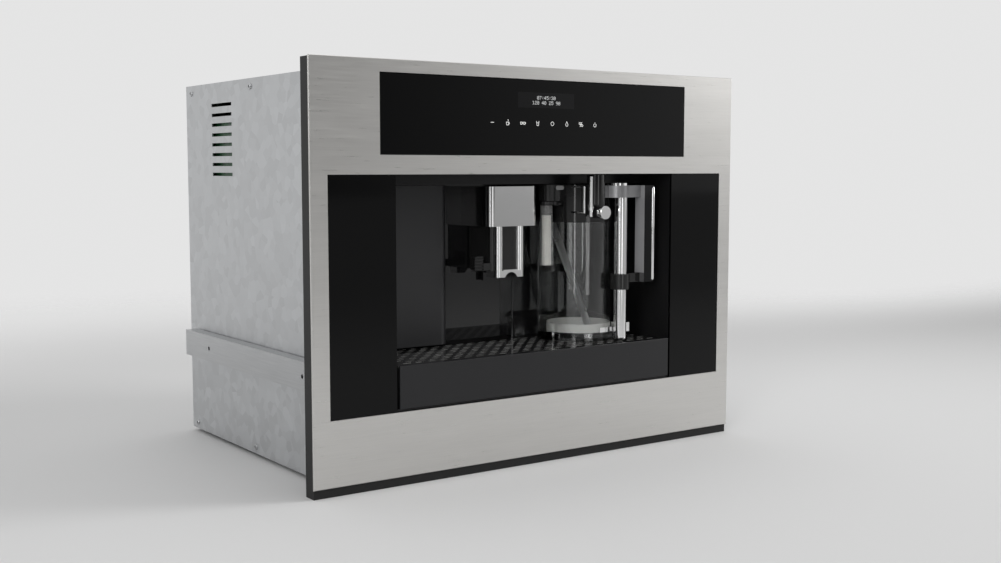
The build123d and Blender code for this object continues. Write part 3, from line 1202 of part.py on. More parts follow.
def bean_hopper():
    outer = funnel(0, PANEL_TOP, THROAT_BOTTOM)
    spigot = rod((GRINDER_X, GRINDER_DEPTH, GRINDER_TOP), THROAT_HALF, THROAT_BOTTOM - GRINDER_TOP)
    flange = rod((GRINDER_X, GRINDER_DEPTH, GRINDER_TOP), CHAMBER_RADIUS + HOPPER_WALL, 2 * HOPPER_WALL)
    inner = funnel(-HOPPER_WALL, PANEL_TOP, THROAT_BOTTOM)
    bore = rod((GRINDER_X, GRINDER_DEPTH, GRINDER_TOP), THROAT_HALF - HOPPER_WALL,
               THROAT_BOTTOM - GRINDER_TOP + CUT_OVER)
    return outer + spigot + flange - inner - bore


def coffee_chute():
    x = (CHUTE_LEFT, CHUTE_RIGHT)
    wall = CHUTE_WALL
    tube = box(x, (CHUTE_FRONT, CHUTE_BACK), (BREW_TOP, PANEL_TOP))
    duct_back = GRINDER_DEPTH - GRINDER_RADIUS
    z = (DUCT_BOTTOM, DUCT_BOTTOM + DUCT_HEIGHT)
    half = CHUTE_HALF / 2
    duct = box((BREW_X - half, BREW_X + half), (CHUTE_BACK, duct_back + MOTOR_FOOT), z)
    duct -= rod((GRINDER_X, GRINDER_DEPTH, DUCT_BOTTOM), GRINDER_RADIUS, DUCT_HEIGHT)
    tube += duct
    tube -= box((x[0] + wall, x[1] - wall), (CHUTE_FRONT + wall, CHUTE_BACK - wall),
                (BREW_TOP - CUT_OVER, PANEL_TOP + CUT_OVER))
    inner = half - wall
    return tube - box((BREW_X - inner, BREW_X + inner), (CHUTE_DEPTH, duct_back + MOTOR_FOOT),
                      (z[0] + wall, z[1] - wall))


def hopper_lid():
    return top_lid(HOPPER_LEFT, HOPPER_RIGHT, HOPPER_FRONT, HOPPER_BACK)


def preground_flap():
    return top_lid(CHUTE_LEFT, CHUTE_RIGHT, CHUTE_FRONT, CHUTE_BACK)


def grind_knob():
    dial = Circle(DIAL_RADIUS)
    for index in range(DIAL_FLUTES):
        place = PolarLocations(DIAL_RADIUS, DIAL_FLUTES).locations[index]
        dial -= place * Circle(DIAL_FLUTE)
    cap = Pos(DIAL_X, FRONT_Y + DIAL_DEPTH, LID_BOTTOM) * extrude(dial, amount=DIAL_HEIGHT)
    start = LID_BOTTOM - DIAL_SHAFT
    return cap + rod((DIAL_X, DIAL_DEPTH, start), SHAFT_RADIUS, DIAL_SHAFT)


# ---- brew unit ----
def brew_frame():
    x = (BREW_X - BREW_HALF_WIDTH, BREW_X + BREW_HALF_WIDTH)
    depth = (BREW_FRONT, BREW_BACK)
    floor = box(x, depth, (SHELF_TOP, SHELF_TOP + BREW_PLATE))
    roof = box(x, depth, (BREW_TOP - BREW_PLATE, BREW_TOP))
    cheek = (SHELF_TOP + BREW_PLATE, BREW_TOP - BREW_PLATE)
    left = box((x[0], x[0] + BREW_PLATE), depth, cheek)
    right = box((x[1] - BREW_PLATE, x[1]), depth, cheek)
    frame = floor + roof + left + right
    frame -= rod((BREW_X, SCREW_DEPTH, SHELF_TOP), LEAD_SCREW_RADIUS + RUNNING_GAP, BREW_TOP - SHELF_TOP)
    wall = CHUTE_WALL
    return frame - box((CHUTE_LEFT + wall, CHUTE_RIGHT - wall), (CHUTE_FRONT + wall, CHUTE_BACK - wall),
                       (BREW_TOP - BREW_PLATE - CUT_OVER, BREW_TOP + CUT_OVER))


def upper_piston():
    top = BREW_TOP - BREW_PLATE
    piston = rod((BREW_X, BREW_DEPTH, top - PISTON_HEIGHT), CHAMBER_INNER - SEAT_GAP, PISTON_HEIGHT)
    front = CHUTE_BACK - CHUTE_WALL
    return piston - box((BREW_X - CHAMBER_OUTER, BREW_X + CHAMBER_OUTER), (BREW_FRONT, front),
                        (top - PISTON_HEIGHT, top))


def brew_chamber():
    base = (BREW_X, BREW_DEPTH, CHAMBER_BOTTOM)
    nut = rod((BREW_X, SCREW_DEPTH, CHAMBER_BOTTOM), NUT_RADIUS, NUT_HEIGHT)
    web = box((BREW_X - NUT_RADIUS / 2, BREW_X + NUT_RADIUS / 2), (BREW_DEPTH, SCREW_DEPTH),
              (CHAMBER_BOTTOM, CHAMBER_BOTTOM + NUT_HEIGHT))
    body = rod(base, CHAMBER_OUTER, CHAMBER_HEIGHT) + nut + web
    floor = CHAMBER_BOTTOM + 2 * BREW_PLATE
    body -= rod((BREW_X, BREW_DEPTH, floor), CHAMBER_INNER, CHAMBER_HEIGHT)
    return body - rod((BREW_X, SCREW_DEPTH, CHAMBER_BOTTOM), LEAD_SCREW_RADIUS + RUNNING_GAP, NUT_HEIGHT)


def lead_screw():
    start = SHELF_BOTTOM - SHAFT_RADIUS
    return rod((BREW_X, SCREW_DEPTH, start), LEAD_SCREW_RADIUS, BREW_TOP - SEAT_GAP - start)


def brew_motor():
    half = GEARBOX_HALF
    top = SHELF_BOTTOM
    body = rounded((BREW_X - half, BREW_X + half), (SCREW_DEPTH - half, SCREW_DEPTH + half),
                   (top - GEARBOX_HEIGHT, top), half / 2)
    body += rod((BREW_X, SCREW_DEPTH, PAN_TOP), half - BREW_PLATE, top - GEARBOX_HEIGHT - PAN_TOP)
    return body - rod((BREW_X, SCREW_DEPTH, top - MOTOR_FOOT), LEAD_SCREW_RADIUS + RUNNING_GAP, MOTOR_FOOT)


def grounds_container():
    bin_ = tub((BIN_LEFT, BIN_RIGHT), (BIN_FRONT, BIN_BACK), (BIN_BOTTOM, BIN_TOP),
               BIN_RADIUS, BIN_WALL, BIN_WALL)
    middle = (BIN_LEFT + BIN_RIGHT) / 2
    dip = rod((middle, BIN_FRONT - CUT_OVER, BIN_TOP), 2 * BIN_RADIUS, BIN_WALL + 2 * CUT_OVER, "y")
    return bin_ - dip


# ---- water ----
def water_tank():
    tank = tub((TANK_LEFT, TANK_RIGHT), (TANK_FRONT, TANK_BACK), (TANK_BOTTOM, TANK_TOP),
               TANK_RADIUS, TANK_WALL, TANK_WALL)
    tank += hinge_lugs(TANK_LID_SPAN, TANK_LID_AXIS, TANK_TOP, TANK_LID_PIN)
    return tank - rod((TANK_MID_X, VALVE_DEPTH, TANK_BOTTOM), VALVE_RADIUS + SEAT_GAP, TANK_WALL)


def tank_lid():
    limits = (TANK_TOP, TANK_TOP + TANK_LID_SHEET)
    back = TANK_LID_AXIS[0] - 2 * BARREL_RADIUS
    cover = rounded((TANK_LEFT, TANK_RIGHT), (TANK_FRONT, back), limits, TANK_RADIUS)
    finger = rounded((TANK_LEFT + TANK_RADIUS, TANK_RIGHT - TANK_RADIUS),
                     (TANK_FRONT + TANK_RADIUS, TANK_FRONT + 2 * TANK_RADIUS),
                     (TANK_TOP - CUT_OVER, TANK_TOP + TANK_LID_SHEET + CUT_OVER), TANK_RADIUS / 3)
    tongue = box(TANK_LID_SPAN, (back - TANK_RADIUS, TANK_LID_AXIS[0]), limits)
    return with_barrel(cover - finger + tongue, TANK_LID_SPAN, TANK_LID_AXIS, TANK_LID_PIN)


def tank_cradle():
    gap = CRADLE_GAP + CRADLE_WALL
    x = (TANK_LEFT - gap, TANK_RIGHT + gap)
    depth = (TANK_FRONT - gap, TANK_BACK + gap)
    tray = tub(x, depth, (CRADLE_TOP - CRADLE_FLOOR, CRADLE_TOP + CRADLE_LIP),
               TANK_RADIUS + gap, CRADLE_WALL, CRADLE_FLOOR)
    tray += rod((TANK_MID_X, VALVE_DEPTH, CRADLE_TOP), VALVE_RADIUS, VALVE_HEIGHT)
    leg_x = (x[0] + TANK_RADIUS, x[1] - TANK_RADIUS)
    leg_z = (PAN_TOP, CRADLE_TOP - CRADLE_FLOOR)
    for start in (depth[0] + TANK_RADIUS, depth[1] - TANK_RADIUS - CRADLE_FLOOR):
        tray += box(leg_x, (start, start + CRADLE_FLOOR), leg_z)
    return tray


def water_pump():
    pump = rod((PUMP_X, PUMP_FRONT, PUMP_Z), PUMP_RADIUS, PUMP_BACK - PUMP_FRONT, "y")
    for start in (PUMP_FRONT - MOUNT_LENGTH, PUMP_BACK):
        pump += rod((PUMP_X, start, PUMP_Z), PUMP_RADIUS / 2, MOUNT_LENGTH, "y")
    return pump


def pump_mounts():
    mounts = []
    for start in (PUMP_FRONT - MOUNT_LENGTH, PUMP_BACK):
        block = box((PUMP_X - PUMP_RADIUS, PUMP_X + PUMP_RADIUS), (start, start + MOUNT_LENGTH),
                    (PAN_TOP, PUMP_Z + PUMP_RADIUS))
        mounts.append(block - rod((PUMP_X, start, PUMP_Z), PUMP_RADIUS / 2, MOUNT_LENGTH, "y"))
    return group(*mounts)


def heater(front):
    """Cast thermoblock with fins, on four legs."""
    x = (HEATER_LEFT, HEATER_RIGHT)
    block = rounded(x, (front, front + HEATER_DEPTH), (HEATER_BOTTOM, HEATER_TOP), HEATER_LEG)
    pitch = HEATER_WIDTH / (FIN_COUNT + 1)
    for index in range(FIN_COUNT):
        middle = HEATER_LEFT + (index + 1) * pitch
        block += box((middle - CHUTE_WALL / 2, middle + CHUTE_WALL / 2),
                     (front + HEATER_LEG, front + HEATER_DEPTH - HEATER_LEG),
                     (HEATER_TOP, HEATER_TOP + FIN_HEIGHT))
    for leg_x in (x[0] + HEATER_LEG, x[1] - HEATER_LEG):
        for leg_depth in (front + HEATER_LEG, front + HEATER_DEPTH - HEATER_LEG):
            block += rod((leg_x, leg_depth, SHELF_TOP), HEATER_LEG / 2, HEATER_LEG)
    return block


def water_hoses():
    """Tank to pump, pump to coffee heater, heater to brew unit, steam heater to outlet."""
    middle = HEATER_BOTTOM + HEATER_HEIGHT / 2
    pump_back = PUMP_BACK + MOUNT_LENGTH
    pump_front = PUMP_FRONT - MOUNT_LENGTH
    suction = [(PUMP_X, pump_back, PUMP_Z), (PUMP_X, VALVE_DEPTH, PUMP_Z),
               (TANK_MID_X, VALVE_DEPTH, PUMP_Z), (TANK_MID_X, VALVE_DEPTH, CRADLE_TOP - CRADLE_FLOOR)]
    feed = [(PUMP_X, pump_front, PUMP_Z), (PUMP_X, RISER_DEPTH, PUMP_Z),
            (PUMP_X, RISER_DEPTH, middle), (PUMP_X, COFFEE_HEATER_FRONT, middle)]
    depth = COFFEE_HEATER_FRONT + HEATER_DEPTH / 2
    riser_x = BREW_X + BREW_HALF_WIDTH + 2 * HOSE_BEND
    drop_x = BREW_X + BREW_HALF_WIDTH - HOSE_BEND
    high = BREW_TOP + 2 * HOSE_BEND
    brew = [(HEATER_LEFT, depth, middle), (riser_x, depth, middle), (riser_x, depth, high),
            (drop_x, depth, high), (drop_x, depth, BREW_TOP)]
    steam_depth = STEAM_HEATER_FRONT - 2 * HOSE_BEND
    outlet = BULKHEAD_BACK + BULKHEAD_THICKNESS
    steam = [(JUG_X, STEAM_HEATER_FRONT, middle), (JUG_X, steam_depth, middle),
             (JUG_X, steam_depth, OUTLET_Z), (JUG_X, outlet, OUTLET_Z)]
    return group(*[hose(route, HOSE_RADIUS, HOSE_BEND) for route in (suction, feed, brew, steam)])


# ---- electrics ----
def power_board():
    x = -BODY_INNER + STANDOFF
    depth = (POWER_BOARD_FRONT, POWER_BOARD_BACK)
    z = (POWER_BOARD_BOTTOM, POWER_BOARD_TOP)
    board = box((x, x + BOARD_THICKNESS), depth, z)
    for post_depth in (depth[0] + STANDOFF, depth[1] - STANDOFF):
        for post_z in (z[0] + STANDOFF, z[1] - STANDOFF):
            board += rod((-BODY_INNER, post_depth, post_z), STANDOFF_RADIUS, STANDOFF, "x")
    face = x + BOARD_THICKNESS
    middle = (depth[0] + depth[1]) / 2
    low = z[0] + STANDOFF
    board += box((face, face + TRANSFORMER[0]), (middle, middle + TRANSFORMER[1]),
                 (low, low + TRANSFORMER[2]))
    high = z[1] - 2 * STANDOFF
    for index in range(RELAY_COUNT):
        start = depth[0] + 2 * STANDOFF + RELAY_PITCH * index
        board += box((face, face + RELAY[0]), (start, start + RELAY[1]), (high - RELAY[2], high))
    return board


def power_inlet():
    half = INLET_WIDTH / 2
    tall = INLET_HEIGHT / 2
    body = box((INLET_X - half, INLET_X + half), (OVERALL_DEPTH - INLET_DEPTH, OVERALL_DEPTH),
               (INLET_Z - tall, INLET_Z + tall))
    wall = BEZEL_WALL
    body -= box((INLET_X - half + wall, INLET_X + half - wall),
                (OVERALL_DEPTH - BEZEL_DEPTH, OVERALL_DEPTH + CUT_OVER),
                (INLET_Z - tall + wall, INLET_Z + tall - wall))
    for x in (INLET_X - CONTACT_PITCH, INLET_X, INLET_X + CONTACT_PITCH):
        body += box((x - CONTACT_HALF, x + CONTACT_HALF),
                    (OVERALL_DEPTH - BEZEL_DEPTH, OVERALL_DEPTH - wall), (INLET_Z - wall, INLET_Z + wall))
    return body


def switch_bezel():
    half = ROCKER_HALF_WIDTH + BEZEL_WALL
    tall = ROCKER_RADIUS + BEZEL_WALL
    front = OVERALL_DEPTH - ROCKER_BEZEL_DEPTH
    body = box((ROCKER_X - half, ROCKER_X + half), (front, OVERALL_DEPTH), (INLET_Z - tall, INLET_Z + tall))
    inner = ROCKER_HALF_WIDTH + SEAT_GAP
    room = ROCKER_RADIUS + SEAT_GAP
    body -= box((ROCKER_X - inner, ROCKER_X + inner), (front + CUT_OVER, OVERALL_DEPTH + CUT_OVER),
                (INLET_Z - room, INLET_Z + room))
    hole = rod((ROCKER_X - half, ROCKER_PIVOT, INLET_Z), ROCKER_PIN_RADIUS + RUNNING_GAP, 2 * half, "x")
    return body - hole


def mains_rocker():
    half = ROCKER_HALF_WIDTH
    round_ = rod((ROCKER_X - half, ROCKER_PIVOT, INLET_Z), ROCKER_RADIUS, 2 * half, "x")
    rocker = round_ & box((ROCKER_X - half, ROCKER_X + half), (ROCKER_PIVOT - SCREW_RADIUS, OVERALL_DEPTH),
                          (INLET_Z - ROCKER_RADIUS, INLET_Z + ROCKER_RADIUS))
    pin = half + ROCKER_PIN
    return rocker + rod((ROCKER_X - pin, ROCKER_PIVOT, INLET_Z), ROCKER_PIN_RADIUS, 2 * pin, "x")


PIECES = {
    "outer_rails": outer_rails, "middle_rails": middle_rails, "inner_rails": inner_rails,
    "steel_fascia": steel_fascia, "fascia_carrier": fascia_carrier, "control_glass": control_glass,
    "side_glass_panels": side_glass_panels, "bottom_trim": bottom_trim,
    "control_board": lambda: group(control_board(), display_module()),
    "niche_liner": niche_liner, "door_hinge_pins": door_hinge_pins,
    "back_wall_panel": back_wall_panel, "inner_chassis": inner_chassis, "steam_outlet": steam_outlet,
    "service_door": service_door, "door_side_cover": door_side_cover, "spout_housing": spout_housing,
    "spout_tubes": spout_tubes, "spout_core": spout_core,
    "drip_tray": drip_tray, "tray_front": tray_front, "tray_grille": tray_grille,
    "tray_float": tray_float,
    "jug_glass": jug_glass, "jug_band": jug_band, "jug_lid": jug_lid,
    "lid_fittings": lambda: group(lid_pipes(), thin_pipe(), handle_cap()),
    "suction_tube": suction_tube, "froth_knob": froth_knob, "milk_spout": milk_spout,
    "handle_post": handle_post, "handle_grip": handle_grip,
    "base_pan": base_pan, "rubber_mounts": lambda: group(feet(), pump_mounts()),
    "side_panels": lambda: group(side_panel(), mirrored(side_panel())), "rear_panel": rear_panel,
    "top_panel": top_panel, "chassis_screws": chassis_screws,
    "grinder_motor": grinder_motor,
    "grinder_housing": lambda: group(grinder_housing(), ring_burr()),
    "grinding_burr": grinding_burr, "bean_hopper": bean_hopper, "coffee_chute": coffee_chute,
    "hopper_lid": hopper_lid, "preground_flap": preground_flap, "grind_knob": grind_knob,
    "brew_frame": lambda: group(brew_frame(), upper_piston()), "brew_chamber": brew_chamber,
    "lead_screw": lead_screw, "brew_motor": brew_motor, "grounds_container": grounds_container,
    "water_tank": water_tank, "tank_lid": tank_lid, "tank_cradle": tank_cradle,
    "water_pump": water_pump,
    "heaters": lambda: group(heater(COFFEE_HEATER_FRONT), heater(STEAM_HEATER_FRONT)),
    "water_hoses": water_hoses, "power_board": power_board,
    "power_inlet": lambda: group(power_inlet(), switch_bezel()), "mains_rocker": mains_rocker,
}

os.makedirs("parts", exist_ok=True)
for name, make in PIECES.items():
    export_step(make(), f"parts/{name}.step")
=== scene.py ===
"""Looks of a built-in coffee machine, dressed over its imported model.

Lengths are metres in the model's own frame: +X to the user's right, +Z up, and the front faces -Y.
"""

import math

import bmesh
import bpy
from bpy.props import FloatProperty, FloatVectorProperty, IntProperty, PointerProperty, StringProperty
from mathutils import Matrix, Vector


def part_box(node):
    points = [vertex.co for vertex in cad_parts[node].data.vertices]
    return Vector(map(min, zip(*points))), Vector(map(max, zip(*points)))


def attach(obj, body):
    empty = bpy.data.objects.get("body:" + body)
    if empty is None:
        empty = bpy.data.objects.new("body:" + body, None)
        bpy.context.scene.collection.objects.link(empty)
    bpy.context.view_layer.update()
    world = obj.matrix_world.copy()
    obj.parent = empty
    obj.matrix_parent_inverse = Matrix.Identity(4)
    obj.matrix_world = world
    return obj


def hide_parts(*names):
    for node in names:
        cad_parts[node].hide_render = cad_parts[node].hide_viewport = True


bl_info = {
    "name": "Built-in coffee machine",
    "version": (1, 0, 0),
    "blender": (4, 5, 0),
    "location": "3D View > Sidebar > Coffee machine",
    "description": "Finishes, printed signs and small fittings of a built-in coffee machine",
    "category": "Object",
}

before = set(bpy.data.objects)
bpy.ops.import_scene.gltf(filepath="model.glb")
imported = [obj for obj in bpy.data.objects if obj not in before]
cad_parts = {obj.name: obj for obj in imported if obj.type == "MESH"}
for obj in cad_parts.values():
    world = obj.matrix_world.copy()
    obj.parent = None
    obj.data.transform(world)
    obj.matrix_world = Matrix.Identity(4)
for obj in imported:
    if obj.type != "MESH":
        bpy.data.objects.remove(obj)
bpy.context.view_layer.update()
MM = 0.001
PRINT = 0.02 * MM  # thickness of a printed layer
CHROME = (0.86, 0.86, 0.86)
SATIN_CHROME = (0.62, 0.62, 0.62)
PIANO_BLACK = (0.012, 0.012, 0.012)
WALL_LACQUER = (0.008, 0.008, 0.0085)
GRIP_SPLIT = 0.16  # the grip's bar and foot lie left of this X
GRIP_BAR = 0.3055  # underside of the grip's bar
GRIP_FOOT = 0.2136  # top of the grip's foot
FONT_ROWS, FONT_COLUMNS = 7, 5
ROW_GAP = 3  # empty dots between the display's two rows
DOT_FILL = 0.86  # share of the pitch that a lit dot fills
DIGITS = {
    "0": "01110 10001 10011 10101 11001 10001 01110",
    "1": "00100 01100 00100 00100 00100 00100 01110",
    "2": "01110 10001 00001 00110 01000 10000 11111",
    "3": "01110 10001 00001 00110 00001 10001 01110",
    "4": "00010 00110 01010 10010 11111 00010 00010",
    "5": "11111 10000 11110 00001 00001 10001 01110",
    "7": "11111 00001 00010 00100 01000 01000 01000",
    "9": "01110 10001 10001 01111 00001 00010 01100",
    ":": "00000 00100 00100 00000 00100 00100 00000",
    " ": "00000 00000 00000 00000 00000 00000 00000",
}


# ---- shader maths ----
class Field:
    """A shader socket that takes part in plain arithmetic."""

    def __init__(self, shader, socket):
        self.shader = shader
        self.socket = socket

    def maths(self, operation, first, second):
        return self.shader.node("Math", {"operation": operation}, {0: first, 1: second})

    def __add__(self, other):
        return self.maths("ADD", self, other)

    __radd__ = __add__

    def __sub__(self, other):
        return self.maths("SUBTRACT", self, other)

    def __rsub__(self, other):
        return self.maths("SUBTRACT", other, self)

    def __mul__(self, other):
        return self.maths("MULTIPLY", self, other)

    __rmul__ = __mul__

    def __pow__(self, power):
        return self.maths("POWER", self, power)

    def __rpow__(self, base):
        return self.maths("POWER", base, self)

    def __gt__(self, other):
        return self.maths("GREATER_THAN", self, other)


class Shader:
    """Nodes of one material or of the world."""

    def __init__(self, owner):
        owner.use_nodes = True
        self.nodes = owner.node_tree.nodes
        self.links = owner.node_tree.links
        self.nodes.clear()

    def node(self, kind, settings=None, sockets=None, output=0):
        """A new node: its settings first, then the values or links of its sockets."""
        made = self.nodes.new("ShaderNode" + kind)
        for name, value in (settings or {}).items():
            setattr(made, name, value)
        for name, value in (sockets or {}).items():
            if isinstance(value, Field):
                self.links.new(value.socket, made.inputs[name])
            else:
                made.inputs[name].default_value = value
        return Field(self, made.outputs[output]) if made.outputs else None

    def place(self, stretch=(1.0, 1.0, 1.0)):
        """The point on the object in metres, stretched for a pattern with a direction."""
        point = self.node("TexCoord", output="Object")
        return self.node("VectorMath", {"operation": "MULTIPLY"}, {0: point, 1: stretch})

    def part(self, vector, axis):
        """One number out of a vector, named by its axis."""
        return self.node("SeparateXYZ", None, {"Vector": vector}, axis)

    def noise(self, scale, detail=2.0, stretch=(1.0, 1.0, 1.0)):
        """Noise from 0 to 1, in cells of about a metre over its scale."""
        sockets = {"Vector": self.place(stretch), "Scale": scale, "Detail": detail}
        return self.node("TexNoise", None, sockets)

    def cells(self, scale, output="Distance"):
        sockets = {"Vector": self.place(), "Scale": scale}
        return self.node("TexVoronoi", None, sockets, output)

    def mix(self, factor, first, second):
        """A colour between two colours."""
        settings = {"data_type": "RGBA"}
        return self.node("Mix", settings, {0: factor, 6: first, 7: second}, 2)

    def between(self, value, low, high):
        """A smooth step from 0 to 1 while a value goes from low to high."""
        settings = {"interpolation_type": "SMOOTHSTEP"}
        return self.node("MapRange", settings, {"Value": value, "From Min": low, "From Max": high})

    def bump(self, height, depth, strength=1.0):
        sockets = {"Height": height, "Distance": depth, "Strength": strength}
        return self.node("Bump", None, sockets)


def paint(name, build):
    """The material of that name, built once by a function that returns its surface sockets."""
    if name in bpy.data.materials:
        return bpy.data.materials[name]
    material = bpy.data.materials.new(name)
    shader = Shader(material)
    surface = shader.node("BsdfPrincipled", None, build(shader))
    shader.node("OutputMaterial", None, {"Surface": surface})
    return material


def tone(colour, share=1.0):
    """A colour as four numbers, darker or lighter by a share."""
    return (*(min(1.0, part * share) for part in colour), 1.0)


# ---- finishes ----
def brushed_steel(colour):
    """Stainless sheet brushed along X."""
    def build(shader):
        streak = shader.noise(900.0, 3.0, (0.03, 1.0, 1.0))
        broad = shader.noise(60.0, 1.0, (0.05, 1.0, 1.0))
        return {
            "Base Color": shader.mix(streak * 0.6 + broad * 0.4, tone(colour, 0.9), tone(colour, 1.08)),
            "Metallic": 1.0,
            "Roughness": 0.24 + streak * 0.12,
            "Normal": shader.bump(streak, 0.00002, 0.35),
        }
    return paint("brushed steel", build)


def jug_band_finish():
    """Satin ring at the foot of the jug, brushed round."""
    def build(shader):
        streak = shader.noise(120.0, 3.0, (0.02, 0.02, 12.0))
        return {
            "Base Color": shader.mix(streak, (0.94, 0.93, 0.90, 1.0), (0.98, 0.97, 0.94, 1.0)),
            "Metallic": 0.0,
            "Roughness": 0.3 + streak * 0.1,
        }
    return paint("jug band", build)


def black_glass(name, colour):
    """Back-printed glass: deep black under a polished face."""
    def build(shader):
        wipe = shader.noise(14.0, 4.0)
        return {
            "Base Color": shader.mix(wipe, tone(colour, 0.8), tone(colour, 1.3)),
            "Roughness": 0.03 + wipe * 0.05,
            "IOR": 1.28,
        }
    return paint(name, build)


def gloss_black(colour):
    """Piano-black moulding with a slight ripple in its reflections."""
    def build(shader):
        ripple = shader.noise(28.0, 2.0)
        return {
            "Base Color": shader.mix(ripple, tone(colour, 0.8), tone(colour, 1.25)),
            "Roughness": 0.05 + ripple * 0.04,
            "IOR": 1.48,
            "Normal": shader.bump(ripple, 0.0002, 0.15),
        }
    return paint("gloss black", build)


def mirror_black(colour):
    """The back wall: black lacquer that reflects like a dark mirror."""
    def build(shader):
        haze = shader.noise(20.0, 3.0)
        return {
            "Base Color": shader.mix(haze, tone(colour, 0.8), tone(colour, 1.2)),
            "Roughness": 0.02 + haze * 0.03,
            "IOR": 1.5,
        }
    return paint("mirror black", build)


def moulded(name, colour, rough=0.42, grain=1600.0, depth=0.00003, shine=0.5):
    """Moulded plastic with an eroded grain."""
    def build(shader):
        fine = shader.noise(grain, 2.0)
        broad = shader.noise(9.0, 3.0)
        return {
            "Base Color": shader.mix(broad * 0.7 + fine * 0.3, tone(colour, 0.86), tone(colour, 1.14)),
            "Roughness": rough - 0.05 + broad * 0.1,
            "Specular IOR Level": shine,
            "Normal": shader.bump(fine, depth, 0.5),
        }
    return paint(name, build)


def chrome(name="chrome", colour=CHROME, rough=0.035):
    """Bright plating, a little hazy where it is wiped."""
    def build(shader):
        haze = shader.noise(45.0, 4.0)
        return {
            "Base Color": shader.mix(haze, tone(colour, 0.96), tone(colour, 1.02)),
            "Metallic": 1.0,
            "Roughness": rough + haze ** 3.0 * 0.12,
        }
    return paint(name, build)


def grille_lacquer(colour):
    """Gloss-black lacquer, with the walls of the slots painted light metal in patches as painted glints."""
    def build(shader):
        wear_and_glint_patches = shader.noise(40.0, 3.0)
        normal = shader.node("TexCoord", output="Normal")
        wall = shader.between(shader.part(normal, "Z"), 0.9, 0.4)
        face = shader.mix(wear_and_glint_patches, tone(colour, 0.8), tone(colour, 1.25))
        return {
            # painted glints: light metallic colour on the slot walls where the noise is high
            "Base Color": shader.mix(wall * wear_and_glint_patches, face, (0.7, 0.7, 0.68, 1.0)),
            "Metallic": wall * 0.6,
            "Roughness": 0.05 + wear_and_glint_patches * 0.05 + wall * 0.2,
        }
    return paint("grille lacquer", build)


def grip_finish(satin):
    """The jug's grip: satin bar, left face painted lighter satin as painted light, dark polished front, black
    foot.
    """
    def build(shader):
        haze = shader.noise(45.0, 4.0)
        normal = shader.node("TexCoord", output="Normal")
        left = shader.between(shader.part(normal, "X"), -0.4, -0.8)
        spot = shader.place()
        across = shader.part(spot, "X")
        height = shader.part(spot, "Z")
        inward = shader.between(across, GRIP_SPLIT + 0.5 * MM, GRIP_SPLIT - 0.2 * MM)
        bar = shader.between(height, GRIP_BAR, GRIP_BAR + 0.5 * MM) * inward
        brushed = shader.node("Math", {"operation": "MAXIMUM"}, {0: left, 1: bar})
        foot = shader.between(height, GRIP_FOOT, GRIP_FOOT - 0.4 * MM) * inward
        # painted light: the faces turned to the left get satin 2.3 times lighter than the rest
        faces = shader.mix(left, tone(satin), tone(satin, 2.3))
        wear_and_painted_light = shader.mix(haze * 0.15, faces, tone(satin, 0.5))
        upper = shader.mix(brushed, (0.03, 0.03, 0.031, 1.0), wear_and_painted_light)
        return {
            "Base Color": shader.mix(foot, upper, (0.012, 0.012, 0.012, 1.0)),
            "Metallic": 1.0 - foot - (brushed - brushed * foot) * 0.7,
            "Roughness": 0.05 + brushed * 0.25 + haze ** 3.0 * 0.1,
        }
    return paint("grip", build)


def clear_glass():
    """Blown jug glass with a faint waviness."""
    def build(shader):
        wave = shader.noise(30.0, 1.0)
        return {
            "Base Color": shader.mix(wave, (0.96, 0.975, 0.97, 1.0), (0.985, 0.99, 0.985, 1.0)),
            "Roughness": wave * 0.015,
            "Transmission Weight": 1.0,
            "IOR": 1.55,
            "Normal": shader.bump(wave, 0.0004, 0.12),
        }
    return paint("jug glass", build)


def clear_plastic(name, colour, rough, ior=1.5):
    """Transparent moulded plastic, tinted."""
    def build(shader):
        cloud = shader.noise(35.0, 3.0)
        return {
            "Base Color": shader.mix(cloud, tone(colour, 0.94), tone(colour, 1.04)),
            "Roughness": rough + cloud * 0.06,
            "Transmission Weight": 0.92,
            "IOR": ior,
        }
    return paint(name, build)


def galvanised(colour):
    """Zinc-coated sheet with its spangle."""
    def build(shader):
        spangle = shader.cells(85.0, "Color")
        value = shader.node("RGBToBW", None, {"Color": spangle})
        fine = shader.noise(700.0, 2.0)
        return {
            "Base Color": shader.mix(value, tone(colour, 0.86), tone(colour, 1.1)),
            "Metallic": 1.0,
            "Roughness": 0.36 + value * 0.14,
            "Normal": shader.bump(value * 0.5 + fine * 0.5, 0.00004, 0.4),
        }
    return paint("galvanised sheet", build)


def plated_steel():
    """Zinc-plated runner steel with light rolling marks."""
    def build(shader):
        roll = shader.noise(500.0, 2.0, (1.0, 0.04, 1.0))
        return {
            "Base Color": shader.mix(roll, (0.42, 0.43, 0.44, 1.0), (0.58, 0.585, 0.59, 1.0)),
            "Metallic": 1.0,
            "Roughness": 0.26 + roll * 0.16,
            "Normal": shader.bump(roll, 0.00003, 0.4),
        }
    return paint("plated steel", build)


def cast_aluminium():
    """Die-cast skin of the heaters."""
    def build(shader):
        skin = shader.noise(420.0, 4.0)
        return {
            "Base Color": shader.mix(skin, (0.45, 0.46, 0.46, 1.0), (0.62, 0.63, 0.63, 1.0)),
            "Metallic": 1.0,
            "Roughness": 0.42 + skin * 0.2,
            "Normal": shader.bump(skin, 0.00018, 0.6),
        }
    return paint("cast aluminium", build)


def rubber(name, colour):
    """Matt rubber or silicone with a dusty bloom."""
    def build(shader):
        bloom = shader.noise(60.0, 4.0)
        return {
            "Base Color": shader.mix(bloom, tone(colour, 0.8), tone(colour, 1.25)),
            "Roughness": 0.62 + bloom * 0.2,
            "Normal": shader.bump(shader.noise(900.0), 0.00005, 0.4),
        }
    return paint(name, build)


